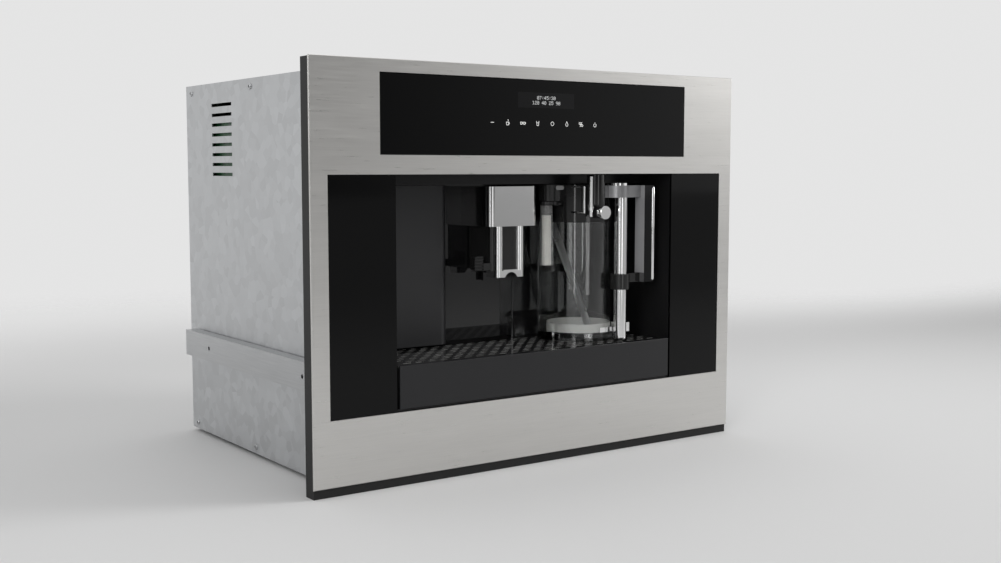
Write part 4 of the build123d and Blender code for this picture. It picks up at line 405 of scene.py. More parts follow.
def floor_paint(colour):
    """Pale studio floor that fades into the backdrop behind the object."""
    def build(shader):
        fine = shader.noise(300.0, 2.0)
        spot = shader.place((1.0, 1.0, 0.0))
        away = shader.node("VectorMath", {"operation": "LENGTH"}, {0: spot}, "Value")
        behind = shader.between(shader.part(spot, "Y"), 0.2, 1.0)
        pale = shader.mix(shader.between(away, 0.6, 1.8) * behind, tone(colour, 0.9), tone(colour, 1.4))
        return {
            "Base Color": shader.mix(fine * 0.05, pale, tone(colour, 0.6)),
            "Roughness": 0.75,
            "Alpha": 1.0 - shader.between(away, 1.0, 2.2) * behind,
            "Normal": shader.bump(fine, 0.00002, 0.5),
        }
    return paint("floor paint", build)


def circuit_board():
    """Green solder mask with the tracks showing through."""
    def build(shader):
        tracks = shader.cells(160.0) > 0.42
        return {
            "Base Color": shader.mix(tracks, (0.012, 0.09, 0.035, 1.0), (0.03, 0.17, 0.06, 1.0)),
            "Roughness": 0.28 + tracks * 0.12,
            "Normal": shader.bump(tracks, 0.00005, 0.5),
        }
    return paint("circuit board", build)


def lit_sign(name, colour, strength):
    """A lit mark behind glass."""
    def build(shader):
        flicker = shader.noise(1500.0, 1.0)
        return {
            "Base Color": (0.02, 0.02, 0.02, 1.0),
            "Roughness": 0.3,
            "Emission Color": shader.mix(flicker, tone(colour, 0.8), tone(colour, 1.1)),
            "Emission Strength": strength,
        }
    return paint(name, build)


def dress(material, *nodes):
    """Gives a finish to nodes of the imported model."""
    for name in nodes:
        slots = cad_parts[name].data.materials
        slots.clear()
        slots.append(material)


# ---- mesh pieces ----
def piece(name, mesh, material, body):
    """A new object from a bmesh, riding on a body."""
    data = bpy.data.meshes.new(name)
    mesh.to_mesh(data)
    mesh.free()
    data.materials.append(material)
    made = bpy.data.objects.new(name, data)
    bpy.context.scene.collection.objects.link(made)
    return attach(made, body)


def smooth(made, degrees=35.0):
    """Smooth shading, except across corners sharper than an angle."""
    made.data.shade_smooth()
    made.data.set_sharp_from_angle(angle=math.radians(degrees))
    return made


def tile(mesh, x, z, width, height, back, thickness):
    """Adds a flat block that faces the front, centred on (x, z)."""
    size = Vector((width, thickness, height))
    place = Matrix.Translation((x, back - thickness / 2, z)) @ Matrix.Diagonal((*size, 1.0))
    bmesh.ops.create_cube(mesh, size=1.0, matrix=place)


def stroke(mesh, points, width, back, thickness):
    """Adds a line of even width through (x, z) points, mitred at its corners."""
    places = [Vector(point) for point in points]
    closed = (places[0] - places[-1]).length < width / 10
    if closed:
        places.pop()
    rims = []
    count = len(places)
    for index, place in enumerate(places):
        before = places[index - 1] if closed or index else place
        after = places[(index + 1) % count] if closed or index < count - 1 else place
        into = (place - before).normalized() if before != place else (after - place).normalized()
        out = (after - place).normalized() if after != place else into
        middle = (into + out).normalized()
        side = Vector((-middle.y, middle.x))
        reach = width / 2 / max(0.4, middle.dot(into))
        rim = []
        for sign in (1, -1):
            edge = place + side * reach * sign
            rim += [mesh.verts.new((edge.x, y, edge.y)) for y in (back, back - thickness)]
        rims.append(rim)
    pairs = list(zip(rims, rims[1:]))
    if closed:
        pairs.append((rims[-1], rims[0]))
    for a, b in pairs:
        mesh.faces.new((a[1], a[3], b[3], b[1]))
        mesh.faces.new((a[0], b[0], b[2], a[2]))
        mesh.faces.new((a[0], a[1], b[1], b[0]))
        mesh.faces.new((a[2], b[2], b[3], a[3]))
    if not closed:
        mesh.faces.new((rims[0][0], rims[0][2], rims[0][3], rims[0][1]))
        mesh.faces.new((rims[-1][0], rims[-1][1], rims[-1][3], rims[-1][2]))


def arc(x, z, radius, start, end, steps=10):
    """Points (x, z) along an arc, angles in degrees."""
    angles = [math.radians(start + (end - start) * step / steps) for step in range(steps + 1)]
    return [(x + radius * math.cos(a), z + radius * math.sin(a)) for a in angles]


def turned(mesh, profile, matrix, steps=32, hollow=False):
    """Adds a solid turned about its own Z from (radius, height) points.

    A hollow one is a ring, and its points are a closed loop.
    """
    rings = []
    for radius, height in profile:
        ring = []
        for step in range(steps):
            angle = 2 * math.pi * step / steps
            spot = Vector((radius * math.cos(angle), radius * math.sin(angle), height))
            ring.append(mesh.verts.new(matrix @ spot))
        rings.append(ring)
    pairs = list(zip(rings, rings[1:]))
    if hollow:
        pairs.append((rings[-1], rings[0]))
    for low, high in pairs:
        for step in range(steps):
            after = (step + 1) % steps
            mesh.faces.new((low[step], low[after], high[after], high[step]))
    if not hollow:
        mesh.faces.new(list(reversed(rings[0])))
        mesh.faces.new(rings[-1])


def round_bar(mesh, matrix, length, radius, thickness, steps=12):
    """Adds a flat bar with round ends along its own X, softened at both faces."""
    soft = min(radius, thickness) * 0.15
    levels = [(radius - soft, 0.0), (radius, soft), (radius, thickness - soft), (radius - soft, thickness)]
    turns = [math.pi * (step / (steps - 1) - 0.5) for step in range(steps)]
    half = length / 2 - radius
    rings = []
    for reach, height in levels:
        right = [Vector((half + reach * math.cos(turn), reach * math.sin(turn), height)) for turn in turns]
        left = [Vector((-half - reach * math.cos(turn), -reach * math.sin(turn), height)) for turn in turns]
        rings.append([mesh.verts.new(matrix @ spot) for spot in right + left])
    count = 2 * steps
    for below, above in zip(rings, rings[1:]):
        for step in range(count):
            after = (step + 1) % count
            mesh.faces.new((below[step], below[after], above[after], above[step]))
    mesh.faces.new(list(reversed(rings[0])))
    mesh.faces.new(rings[-1])


def bead(mesh, matrix, length, width, rise, steps=10):
    """Adds a half-round strip along its own Y, proud along Z, tapered at both ends."""
    stations = [(-0.5, 0.15), (-0.497, 0.6), (-0.488, 1.0), (0.488, 1.0), (0.497, 0.6), (0.5, 0.15)]
    rows = []
    for along, share in stations:
        row = []
        for step in range(steps + 1):
            angle = math.pi * step / steps
            across = width / 2 * math.cos(angle) * share
            spot = Vector((across, along * length, rise * math.sin(angle) * share))
            row.append(mesh.verts.new(matrix @ spot))
        rows.append(row)
    for near, far in zip(rows, rows[1:]):
        for step in range(steps):
            mesh.faces.new((near[step], far[step], far[step + 1], near[step + 1]))
        mesh.faces.new((near[-1], far[-1], far[0], near[0]))
    mesh.faces.new(rows[0])
    mesh.faces.new(list(reversed(rows[-1])))
    bmesh.ops.recalc_face_normals(mesh, faces=mesh.faces)


def facing(direction, place):
    """A matrix that puts local +Z along a direction at a place."""
    turn = Vector(direction).to_track_quat("Z", "Y").to_matrix().to_4x4()
    return Matrix.Translation(place) @ turn


def screw_head(mesh, place, direction, radius):
    """Adds a pan head with a round recess."""
    matrix = facing(direction, place)
    height = radius * 0.55
    profile = [(radius, 0.0), (radius, height * 0.35), (radius * 0.86, height * 0.82),
               (radius * 0.5, height), (radius * 0.44, height), (radius * 0.4, height * 0.25)]
    turned(mesh, profile, matrix, 18)


# ---- settings ----
class FasciaSettings(bpy.types.PropertyGroup):
    """Front plate and its glass."""
    steel: FloatVectorProperty(name="Steel", description="Colour of the brushed front", subtype="COLOR",
                               default=(0.66, 0.65, 0.63), min=0.0, max=1.0)
    glass: FloatVectorProperty(name="Glass", description="Colour behind the black glass", subtype="COLOR",
                               default=(0.0013, 0.0013, 0.0014), min=0.0, max=1.0)
    plastic: FloatVectorProperty(name="Carrier", description="Colour of the moulded carrier", subtype="COLOR",
                                 default=(0.009, 0.009, 0.009), min=0.0, max=1.0)


class SignSettings(bpy.types.PropertyGroup):
    """Lit display and touch signs."""
    upper: StringProperty(name="Upper row", description="Digits in the display's upper row",
                          default="07:45:30")
    lower: StringProperty(name="Lower row", description="Digits in the display's lower row",
                          default="120 40 25 90")
    dot: FloatProperty(name="Dot pitch", description="Pitch of the display's dots", subtype="DISTANCE",
                       default=0.00056, min=0.0001)
    display_width: FloatProperty(name="Display width", description="Width of the display's window",
                                 subtype="DISTANCE", default=0.080, min=0.01)
    display_height: FloatProperty(name="Display height", description="Height of the display's window",
                                  subtype="DISTANCE", default=0.0172, min=0.005)
    display_x: FloatProperty(name="Display place", description="Middle of the display across the front",
                             subtype="DISTANCE", default=0.002)
    display_drop: FloatProperty(name="Display drop", description="Middle of the display below the glass top",
                                subtype="DISTANCE", default=0.0228)
    keys: IntProperty(name="Touch signs", description="Number of touch signs", default=8, min=1, max=8)
    pitch: FloatProperty(name="Sign pitch", description="Distance between touch signs",
                         subtype="DISTANCE", default=0.02095, min=0.005)
    key_drop: FloatProperty(name="Sign drop", description="Touch signs below the glass top",
                            subtype="DISTANCE", default=0.0488)
    line: FloatProperty(name="Line width", description="Line width of a touch sign",
                        subtype="DISTANCE", default=0.0006, min=0.0001)


class NicheSettings(bpy.types.PropertyGroup):
    """Niche, service door and tray."""
    liner: FloatVectorProperty(name="Liner", description="Colour of the niche", subtype="COLOR",
                               default=(0.012, 0.012, 0.0125), min=0.0, max=1.0)
    cover: FloatVectorProperty(name="Door cover", description="Colour of the matt door cover",
                               subtype="COLOR", default=(0.0098, 0.0098, 0.0114), min=0.0, max=1.0)
    tray: FloatVectorProperty(name="Tray front", description="Colour of the tray front", subtype="COLOR",
                              default=(0.0078, 0.0078, 0.0090), min=0.0, max=1.0)
    grille: FloatVectorProperty(name="Grille", description="Colour of the grille", subtype="COLOR",
                                default=(0.014, 0.014, 0.0145), min=0.0, max=1.0)


class JugSettings(bpy.types.PropertyGroup):
    """Milk jug."""
    cream: FloatVectorProperty(name="Milk tube", description="Colour of the milk spout's core",
                               subtype="COLOR", default=(0.91, 0.89, 0.83), min=0.0, max=1.0)
    satin: FloatVectorProperty(name="Satin grey", description="Colour of the grip's satin faces",
                               subtype="COLOR", default=(0.20, 0.20, 0.205), min=0.0, max=1.0)
    sleeve: FloatProperty(name="Sleeve", description="Length of the milk spout's sleeve",
                          subtype="DISTANCE", default=0.0725, min=0.03)
    tip: FloatProperty(name="Tip radius", description="Radius of the sleeve at its tip",
                       subtype="DISTANCE", default=0.0086, min=0.005)
    top: FloatProperty(name="Top radius", description="Radius of the sleeve at its top",
                       subtype="DISTANCE", default=0.0075, min=0.005)
    arm_front: FloatProperty(name="Arm front", description="Front face of the lid's arm along Y",
                             subtype="DISTANCE", default=-0.156)
    button_x: FloatProperty(name="Button place", description="Arm button's middle across the front",
                            subtype="DISTANCE", default=0.0602)
    button_z: FloatProperty(name="Button height", description="Height of the arm button",
                            subtype="DISTANCE", default=0.3180)
    core: FloatProperty(name="Core radius", description="Radius of the milk spout's core",
                        subtype="DISTANCE", default=0.0056, min=0.0045)
    neck: FloatProperty(name="Neck", description="Dark length above the milk spout's core",
                        subtype="DISTANCE", default=0.012, min=0.001)


class ChassisSettings(bpy.types.PropertyGroup):
    """Body sheets and their screws."""
    sheet: FloatVectorProperty(name="Sheet", description="Colour of the zinc-coated sheets", subtype="COLOR",
                               default=(0.56, 0.57, 0.58), min=0.0, max=1.0)
    screw: FloatProperty(name="Screw radius", description="Radius of a sheet screw's head",
                         subtype="DISTANCE", default=0.0036, min=0.001)


class StageSettings(bpy.types.PropertyGroup):
    """Camera, floor and light."""
    eye: FloatVectorProperty(name="Eye", description="Camera's place", subtype="TRANSLATION",
                             default=(-0.8699, -1.3473, 0.3416))
    turn: FloatProperty(name="Turn", description="Camera's turn to the right of +Y", subtype="ANGLE",
                        default=math.radians(35.28))
    dip: FloatProperty(name="Dip", description="Camera's tilt below the horizon", subtype="ANGLE",
                       default=math.radians(5.18))
    lens: FloatProperty(name="Lens", description="Focal length", unit="CAMERA", default=45.0, min=10.0)
    floor: FloatVectorProperty(name="Floor", description="Colour of the floor", subtype="COLOR",
                               default=(0.70, 0.70, 0.70), min=0.0, max=1.0)
    sky: FloatVectorProperty(name="Backdrop", description="Colour behind the object", subtype="COLOR",
                             default=(0.78, 0.78, 0.78), min=0.0, max=1.0)
    shade: FloatVectorProperty(name="Shade", description="Colour of the studio in front of the object",
                               subtype="COLOR", default=(0.085, 0.085, 0.085), min=0.0, max=1.0)
    side: FloatProperty(name="Side", description="Share of white in the studio on the right",
                        default=1.0, min=0.0, max=1.0)
    key: FloatProperty(name="Key", description="Power of the large lamp on the right, in watts",
                       unit="POWER", default=7.0, min=0.0)


# ---- operators ----
class COFFEE_OT_fascia(bpy.types.Operator):
    """Finish the steel front, its glass panels and the carrier behind them"""
    bl_idname = "coffee.fascia"
    bl_label = "Fascia"

    def execute(self, context):
        settings = context.scene.coffee_fascia
        dress(brushed_steel(settings.steel), "steel_fascia")
        dress(black_glass("black glass", settings.glass), "control_glass", "side_glass_panels")
        carrier = moulded("carrier plastic", settings.plastic, 0.5, shine=0.3)
        dress(carrier, "fascia_carrier", "bottom_trim")
        dress(circuit_board(), "control_board", "power_board")
        return {"FINISHED"}


class COFFEE_OT_display(bpy.types.Operator):
    """Add the display window with its two rows of dot digits"""
    bl_idname = "coffee.display"
    bl_label = "Display"

    def execute(self, context):
        settings = context.scene.coffee_signs
        glass_low, glass_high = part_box("control_glass")
        x = settings.display_x
        z = glass_high.z - settings.display_drop
        window = bmesh.new()
        tile(window, x, z, settings.display_width, settings.display_height, glass_low.y, PRINT)
        lighter = tuple(part * 4.5 for part in context.scene.coffee_fascia.glass)
        tinted = black_glass("display window", lighter)
        piece("display_window", window, tinted, "machine")
        dots = bmesh.new()
        rise = settings.dot * (FONT_ROWS + ROW_GAP) / 2
        size = settings.dot * DOT_FILL
        for text, middle in ((settings.upper, z + rise), (settings.lower, z - rise)):
            left = x - (len(text) * (FONT_COLUMNS + 1) - 1) * settings.dot / 2
            for place, sign in enumerate(text):
                for row, line in enumerate(DIGITS[sign].split()):
                    for column, dot in enumerate(line):
                        if dot == "1":
                            dot_x = left + (place * (FONT_COLUMNS + 1) + column) * settings.dot
                            dot_z = middle + (FONT_ROWS / 2 - row - 0.5) * settings.dot
                            tile(dots, dot_x, dot_z, size, size, glass_low.y - PRINT, PRINT)
        lit = lit_sign("display digits", (0.75, 0.76, 0.76), 1.0)
        piece("display_digits", dots, lit, "machine")
        return {"FINISHED"}


class COFFEE_OT_touch_signs(bpy.types.Operator):
    """Add the row of lit touch signs under the display"""
    bl_idname = "coffee.touch_signs"
    bl_label = "Touch signs"

    def execute(self, context):
        settings = context.scene.coffee_signs
        glass_low, glass_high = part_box("control_glass")
        z = glass_high.z - settings.key_drop
        signs = [self.bar, self.hot_cup, self.two_cups, self.tall_glass,
                 self.ring, self.drop, self.steam, self.flame][: settings.keys]
        mesh = bmesh.new()
        for index, draw in enumerate(signs):
            x = (index - (len(signs) - 1) / 2) * settings.pitch
            for points in draw(x, z):
                stroke(mesh, points, settings.line, glass_low.y, PRINT)
        lit = lit_sign("touch signs", (0.9, 0.9, 0.88), 1.0)
        piece("touch_signs", mesh, lit, "machine")
        return {"FINISHED"}

    @staticmethod
    def bar(x, z):
        return [[(x - 2.2 * MM, z), (x + 2.2 * MM, z)]]

    @staticmethod
    def cup(x, z, size):
        bowl = [(x - size, z + size * 0.7), (x - size * 0.8, z - size), (x + size * 0.6, z - size),
                (x + size * 0.8, z + size * 0.7), (x - size, z + size * 0.7)]
        return [bowl, arc(x + size * 0.75, z, size * 0.55, 70, -70)]

    @classmethod
    def hot_cup(cls, x, z):
        wisp = arc(x, z + 2.5 * MM, 0.9 * MM, -90, 90, 6)
        return cls.cup(x, z - 0.7 * MM, 1.8 * MM) + [wisp]

    @classmethod
    def two_cups(cls, x, z):
        return cls.cup(x - 2.0 * MM, z, 1.4 * MM) + cls.cup(x + 2.1 * MM, z, 1.4 * MM)

    @staticmethod
    def tall_glass(x, z):
        sides = [(x - 1.7 * MM, z + 2.6 * MM), (x - 1.1 * MM, z - 2.4 * MM),
                 (x + 1.1 * MM, z - 2.4 * MM), (x + 1.7 * MM, z + 2.6 * MM)]
        return [sides, [(x - 1.4 * MM, z + 0.6 * MM), (x + 1.4 * MM, z + 0.6 * MM)]]

    @staticmethod
    def ring(x, z):
        return [arc(x, z, 2.1 * MM, 0, 360, 24)]

    @staticmethod
    def drop(x, z):
        belly = arc(x, z - 0.7 * MM, 1.7 * MM, 150, 390, 16)
        return [[(x, z + 2.8 * MM), *belly, (x, z + 2.8 * MM)]]

    @staticmethod
    def steam(x, z):
        lines = []
        for shift in (-1.7, 0.0, 1.7):
            low = arc(x + shift * MM, z - 1.2 * MM, 1.2 * MM, -90, 90, 6)
            high = arc(x + shift * MM, z + 1.2 * MM, 1.2 * MM, 270, 90, 6)
            lines.append(low + high[1:])
        return lines

    @staticmethod
    def flame(x, z):
        return [arc(x, z - 0.6 * MM, 1.9 * MM, 125, 415, 18), [(x, z + 2.8 * MM), (x, z + 0.4 * MM)]]


class COFFEE_OT_niche(bpy.types.Operator):
    """Finish the niche, its back wall and the service door"""
    bl_idname = "coffee.niche"
    bl_label = "Niche and door"

    def execute(self, context):
        settings = context.scene.coffee_niche
        liner = moulded("niche plastic", settings.liner, 0.22, 900.0, 0.00001, 0.25)
        dress(liner, "niche_liner")
        dress(moulded("frame plastic", settings.liner, 0.5), "inner_chassis", "brew_frame")
        dress(mirror_black(WALL_LACQUER), "back_wall_panel", "service_door")
        dress(moulded("door cover", settings.cover, 0.46, 2200.0), "door_side_cover")
        dress(chrome(), "steam_outlet")
        dress(plated_steel(), "door_hinge_pins")
        return {"FINISHED"}


class COFFEE_OT_coffee_spout(bpy.types.Operator):
    """Finish the height-adjustable coffee spout and its housing"""
    bl_idname = "coffee.coffee_spout"
    bl_label = "Coffee spout"

    def execute(self, context):
        dress(chrome("satin chrome", SATIN_CHROME, 0.09), "spout_housing")
        dress(chrome(), "spout_tubes")
        dress(gloss_black(PIANO_BLACK), "spout_core")
        return {"FINISHED"}


class COFFEE_OT_tray(bpy.types.Operator):
    """Finish the drip tray, its front, grille and float"""
    bl_idname = "coffee.tray"
    bl_label = "Drip tray"

    def execute(self, context):
        settings = context.scene.coffee_niche
        dress(moulded("tray front", settings.tray, 0.38, 2600.0, 0.00002, 0.4), "tray_front")
        dress(moulded("tray plastic", (0.02, 0.02, 0.021), 0.45), "drip_tray")
        dress(grille_lacquer(settings.grille), "tray_grille")
        dress(moulded("float plastic", (0.42, 0.02, 0.015), 0.35), "tray_float")
        return {"FINISHED"}


class COFFEE_OT_milk_jug(bpy.types.Operator):
    """Finish the glass milk jug, its lid, knob and tubes, and add the button on the lid's arm"""
    bl_idname = "coffee.milk_jug"
    bl_label = "Milk jug"

    def execute(self, context):
        settings = context.scene.coffee_jug
        dress(clear_glass(), "jug_glass")
        dress(jug_band_finish(), "jug_band")
        dress(gloss_black(PIANO_BLACK), "jug_lid")
        dress(chrome(), "lid_fittings", "froth_knob")
        dress(clear_plastic("clear tube", (0.86, 0.87, 0.86), 0.25), "suction_tube")
        mesh = bmesh.new()
        place = facing((0, -1, 0), (settings.button_x, settings.arm_front, settings.button_z))
        length, radius, rise = 12 * MM, 2.5 * MM, 0.6 * MM
        round_bar(mesh, place, length, radius, rise)
        grey = moulded("arm button", (0.30, 0.30, 0.30), 0.35, 900.0, 0.00001)
        smooth(piece("arm_button", mesh, grey, "jug"))
        return {"FINISHED"}


class COFFEE_OT_milk_spout(bpy.types.Operator):
    """Build the milk spout: a pale core in a clear sleeve, hung from a black link"""
    bl_idname = "coffee.milk_spout"
    bl_label = "Milk spout"

    def execute(self, context):
        settings = context.scene.coffee_jug
        low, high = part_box("milk_spout")
        tip = Vector((low.x + settings.tip, (low.y + high.y) / 2, low.z))
        place = Matrix.Translation(tip)
        rise = settings.sleeve
        wall = 0.9 * MM
        rim = rise - 0.2 * MM
        mesh = bmesh.new()
        outer = [(settings.tip - wall, 0.0), (settings.tip - wall * 0.3, 0.0), (settings.tip, wall * 0.5),
                 (settings.top, rim), (settings.top - wall, rim)]
        turned(mesh, outer, place, 48, True)
        clear = clear_plastic("clear sleeve", (0.93, 0.93, 0.92), 0.04, 1.35)
        sleeve = smooth(piece("milk_spout_sleeve", mesh, clear, "milk_outlet"))

        bore, inset, bevel = 4.0 * MM, 1.2 * MM, 0.4 * MM
        top = rise - settings.neck
        mesh = bmesh.new()
        core = [(bore, inset), (settings.core - bevel, inset), (settings.core, inset + bevel * 1.5),
                (settings.core, top), (bore, top)]
        turned(mesh, core, place, 40, True)
        pale = moulded("milk tube", settings.cream, 0.3, 500.0, 0.00001)
        tube = smooth(piece("milk_spout_core", mesh, pale, "milk_outlet"))

        mesh = bmesh.new()
        neck_radius = settings.top - wall - 0.1 * MM
        neck = [(settings.core + 0.6 * MM, top), (neck_radius, top + 1.5 * MM),
                (neck_radius, rise - 0.4 * MM), (settings.top - 1.5 * MM, rise)]
        turned(mesh, neck, place, 40)
        thickness = 5.0 * MM
        pivot_x = high.x - settings.top
        length = pivot_x - tip.x + settings.top * 2
        middle = Matrix.Translation(((pivot_x + tip.x) / 2, tip.y, tip.z + rise))
        round_bar(mesh, middle, length, settings.top, thickness, 16)
        pin_radius, pin_bevel = 3.0 * MM, 0.4 * MM
        pin = Matrix.Translation((pivot_x, tip.y, tip.z + rise + thickness))
        pin_height = high.z - tip.z - rise - thickness
        shoulder = (pin_radius, pin_height - 0.5 * MM)
        turned(mesh, [(pin_radius, 0.0), shoulder, (pin_radius - pin_bevel, pin_height)], pin, 24)
        link = piece("milk_spout_link", mesh, gloss_black(PIANO_BLACK), "milk_outlet")
        smooth(link)
        for made in (sleeve, tube, link):
            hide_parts("milk_spout")
        return {"FINISHED"}


class COFFEE_OT_handle(bpy.types.Operator):
    """Finish the jug's chrome post and its grip, and add the grip's bright bead"""
    bl_idname = "coffee.handle"
    bl_label = "Jug handle"

    def execute(self, context):
        dress(chrome(), "handle_post")
        dress(grip_finish(context.scene.coffee_jug.satin), "handle_grip")
        low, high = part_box("handle_grip")
        width, rise = 4.2 * MM, 0.9 * MM
        edge, sink, lift, ends = 3.6 * MM, 0.1 * MM, 8 * MM, 12 * MM
        middle = (low.z + lift + high.z) / 2
        mesh = bmesh.new()
        place = facing((0, -1, 0), (high.x - edge, low.y + sink, middle))
        bead(mesh, place, high.z - low.z - ends, width, rise)
        smooth(piece("grip_bead", mesh, chrome(), "jug"), 60.0)
        return {"FINISHED"}


class COFFEE_OT_chassis(bpy.types.Operator):
    """Finish the body sheets and runners, and add the sheet screws"""
    bl_idname = "coffee.chassis"
    bl_label = "Body and runners"

    def execute(self, context):
        settings = context.scene.coffee_chassis
        sheet = galvanised(settings.sheet)
        dress(sheet, "base_pan", "side_panels", "rear_panel", "top_panel")
        dress(plated_steel(), "outer_rails", "middle_rails", "inner_rails", "chassis_screws")
        dress(rubber("rubber", (0.02, 0.02, 0.02)), "rubber_mounts")
        mesh = bmesh.new()
        inset = 8 * MM
        low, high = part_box("rear_panel")
        rear_face = high.y - 2.2 * MM
        edges = (low.x + inset, high.x - inset)
        rows = (low.z + inset, high.z - inset)
        places = [(x, z) for x in (edges[0], low.x / 2, high.x / 2, edges[1]) for z in rows]
        third = (high.z - low.z) / 3
        places += [(x, low.z + third * share) for share in (1, 2) for x in edges]
        for x, z in places:
            screw_head(mesh, (x, rear_face, z), (0, 1, 0), settings.screw)
        low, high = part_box("side_panels")
        sink = 0.3 * MM
        for side in (low.x + sink, high.x - sink):
            outward = (math.copysign(1.0, side), 0, 0)
            for y in (low.y + inset * 2, (low.y + high.y) / 2, high.y - inset * 2):
                for z in (high.z - inset, low.z + inset):
                    screw_head(mesh, (side, y, z), outward, settings.screw)
        smooth(piece("sheet_screws", mesh, plated_steel(), "machine"))
        return {"FINISHED"}


class COFFEE_OT_inside(bpy.types.Operator):
    """Finish the hopper, grinder, brew unit, tank, heaters and other parts inside"""
    bl_idname = "coffee.inside"
    bl_label = "Inside"

    def execute(self, context):
        dress(clear_plastic("smoked plastic", (0.42, 0.40, 0.38), 0.06), "bean_hopper")
        dress(clear_plastic("tank plastic", (0.72, 0.76, 0.80), 0.08), "water_tank")
        dress(moulded("lid plastic", (0.022, 0.022, 0.023), 0.3), "hopper_lid", "preground_flap",
              "grind_knob", "tank_lid")
        dress(moulded("inner plastic", (0.05, 0.05, 0.053), 0.5), "grinder_housing", "brew_chamber",
              "coffee_chute", "tank_cradle")
        dress(moulded("grounds plastic", (0.03, 0.03, 0.032), 0.45), "grounds_container")
        dress(plated_steel(), "grinder_motor", "brew_motor", "water_pump", "grinding_burr", "lead_screw")
        dress(cast_aluminium(), "heaters")
        dress(rubber("silicone hose", (0.55, 0.54, 0.52)), "water_hoses")
        dress(moulded("inlet plastic", (0.015, 0.015, 0.015), 0.35), "power_inlet", "mains_rocker")
        return {"FINISHED"}


LAMP_SPREAD = 75  # degrees
FRONT_MIDDLE = (0.0, -0.2, 0.2)
LAMPS = (  # name, place, target, size, share of the key lamp's power
    ("key", (2.3, -1.3, 1.5), FRONT_MIDDLE, (1.0, 1.6), 1.0),
    ("side", (-1.7, -1.5, 1.1), FRONT_MIDDLE, (0.7, 1.4), 0.4),
    ("top", (0.1, 0.2, 2.4), (0.0, 0.1, 0.2), (1.6, 1.6), 0.25),
    ("front", (-0.15, -1.85, 0.5), FRONT_MIDDLE, (0.4, 1.0), 0.055),
    ("left strip", (-1.35, -1.25, 0.5), FRONT_MIDDLE, (0.15, 1.1), 0.04),
)


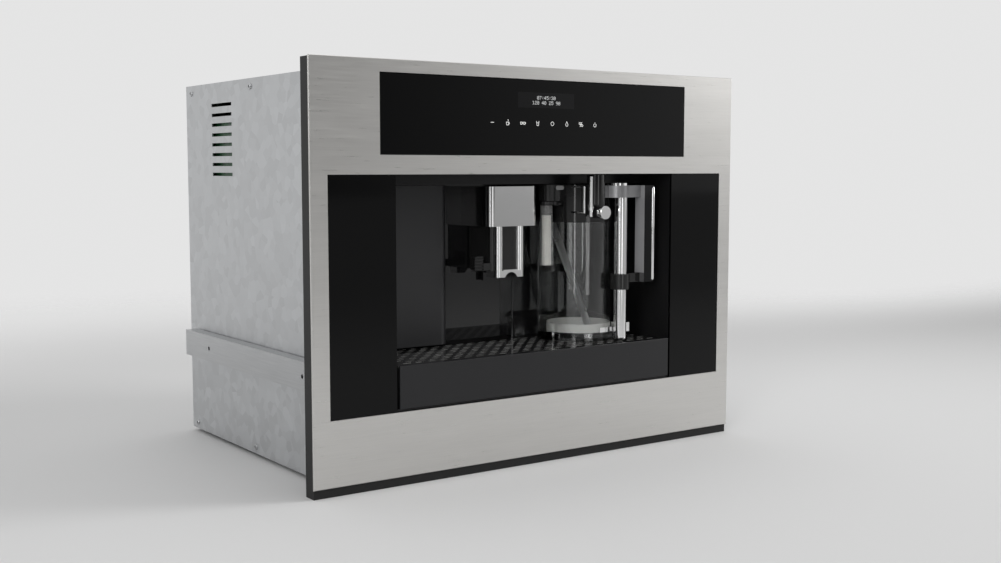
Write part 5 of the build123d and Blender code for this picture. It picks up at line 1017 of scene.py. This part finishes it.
class COFFEE_OT_stage(bpy.types.Operator):
    """Set the camera, the floor, the backdrop and the lamps"""
    bl_idname = "coffee.stage"
    bl_label = "Stage"

    def execute(self, context):
        scene = context.scene
        settings = scene.coffee_stage
        camera = bpy.data.objects.new("camera", bpy.data.cameras.new("camera"))
        scene.collection.objects.link(camera)
        camera.data.lens = settings.lens
        camera.data.sensor_width = 36.0  # millimetres
        camera.data.clip_end = 50.0
        camera.location = settings.eye
        camera.rotation_euler = (math.pi / 2 - settings.dip, 0.0, -settings.turn)
        scene.camera = camera
        scene.view_settings.view_transform = "Standard"
        self.floor(scene, settings)
        self.backdrop(scene, settings)
        for name, place, target, size, share in LAMPS:
            self.lamp(scene, name, place, target, size, settings.key * share)
        return {"FINISHED"}

    @staticmethod
    def floor(scene, settings):
        mesh = bmesh.new()
        reach = 12.0
        bmesh.ops.create_grid(mesh, x_segments=8, y_segments=8, size=reach)
        data = bpy.data.meshes.new("floor")
        mesh.to_mesh(data)
        mesh.free()
        floor = bpy.data.objects.new("floor", data)
        scene.collection.objects.link(floor)
        data.materials.append(floor_paint(settings.floor))

    @staticmethod
    def backdrop(scene, settings):
        """Pale behind the object and overhead, dim in front, and white on the right."""
        world = bpy.data.worlds.new("studio")
        scene.world = world
        shader = Shader(world)
        way = shader.node("TexCoord", output="Generated")
        rear = shader.between(shader.part(way, "Y"), 0.05, 0.45)
        dome = shader.between(shader.part(way, "Z"), 0.3, 0.8) * 0.9
        rear = shader.node("Math", {"operation": "MAXIMUM"}, {0: rear, 1: dome})
        side = shader.between(shader.part(way, "X"), 0.35, 0.85) * settings.side
        base = shader.mix(rear, tone(settings.shade), tone(settings.sky))
        colour = shader.mix(side * (1.0 - rear), base, (1.0, 1.0, 1.0, 1.0))
        background = shader.node("Background", None, {"Color": colour, "Strength": 1.0})
        shader.node("OutputWorld", None, {"Surface": background})

    @staticmethod
    def lamp(scene, name, place, target, size, power):
        data = bpy.data.lights.new(name, "AREA")
        data.shape = "RECTANGLE"
        data.size, data.size_y = size
        data.energy = power
        data.spread = math.radians(LAMP_SPREAD)
        made = bpy.data.objects.new(name, data)
        scene.collection.objects.link(made)
        made.location = place
        made.rotation_euler = (Vector(target) - Vector(place)).to_track_quat("-Z", "Y").to_euler()


class COFFEE_PT_panel(bpy.types.Panel):
    """Lists the steps of the coffee machine's looks"""
    bl_idname = "COFFEE_PT_panel"
    bl_label = "Coffee machine"
    bl_space_type = "VIEW_3D"
    bl_region_type = "UI"
    bl_category = "Coffee machine"

    def draw(self, context):
        for step in STEPS:
            self.layout.operator(step.bl_idname)
        for name in SETTINGS:
            group = getattr(context.scene, name)
            column = self.layout.box().column()
            for key in group.bl_rna.properties.keys():
                if key not in ("name", "rna_type"):
                    column.prop(group, key)


SETTINGS = {
    "coffee_fascia": FasciaSettings, "coffee_signs": SignSettings, "coffee_niche": NicheSettings,
    "coffee_jug": JugSettings, "coffee_chassis": ChassisSettings, "coffee_stage": StageSettings,
}
STEPS = (
    COFFEE_OT_stage, COFFEE_OT_fascia, COFFEE_OT_display, COFFEE_OT_touch_signs, COFFEE_OT_niche,
    COFFEE_OT_coffee_spout, COFFEE_OT_tray, COFFEE_OT_milk_jug, COFFEE_OT_milk_spout, COFFEE_OT_handle,
    COFFEE_OT_chassis, COFFEE_OT_inside,
)


def register():
    for group in (*SETTINGS.values(), *STEPS, COFFEE_PT_panel):
        bpy.utils.register_class(group)
    for name, group in SETTINGS.items():
        setattr(bpy.types.Scene, name, PointerProperty(type=group))


def unregister():
    for name in SETTINGS:
        delattr(bpy.types.Scene, name)
    for group in reversed((*SETTINGS.values(), *STEPS, COFFEE_PT_panel)):
        bpy.utils.unregister_class(group)


def main():
    """Registers the add-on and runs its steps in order."""
    register()
    for step in STEPS:
        category, name = step.bl_idname.split(".")
        getattr(getattr(bpy.ops, category), name)()


if __name__ == "__main__":
    main()
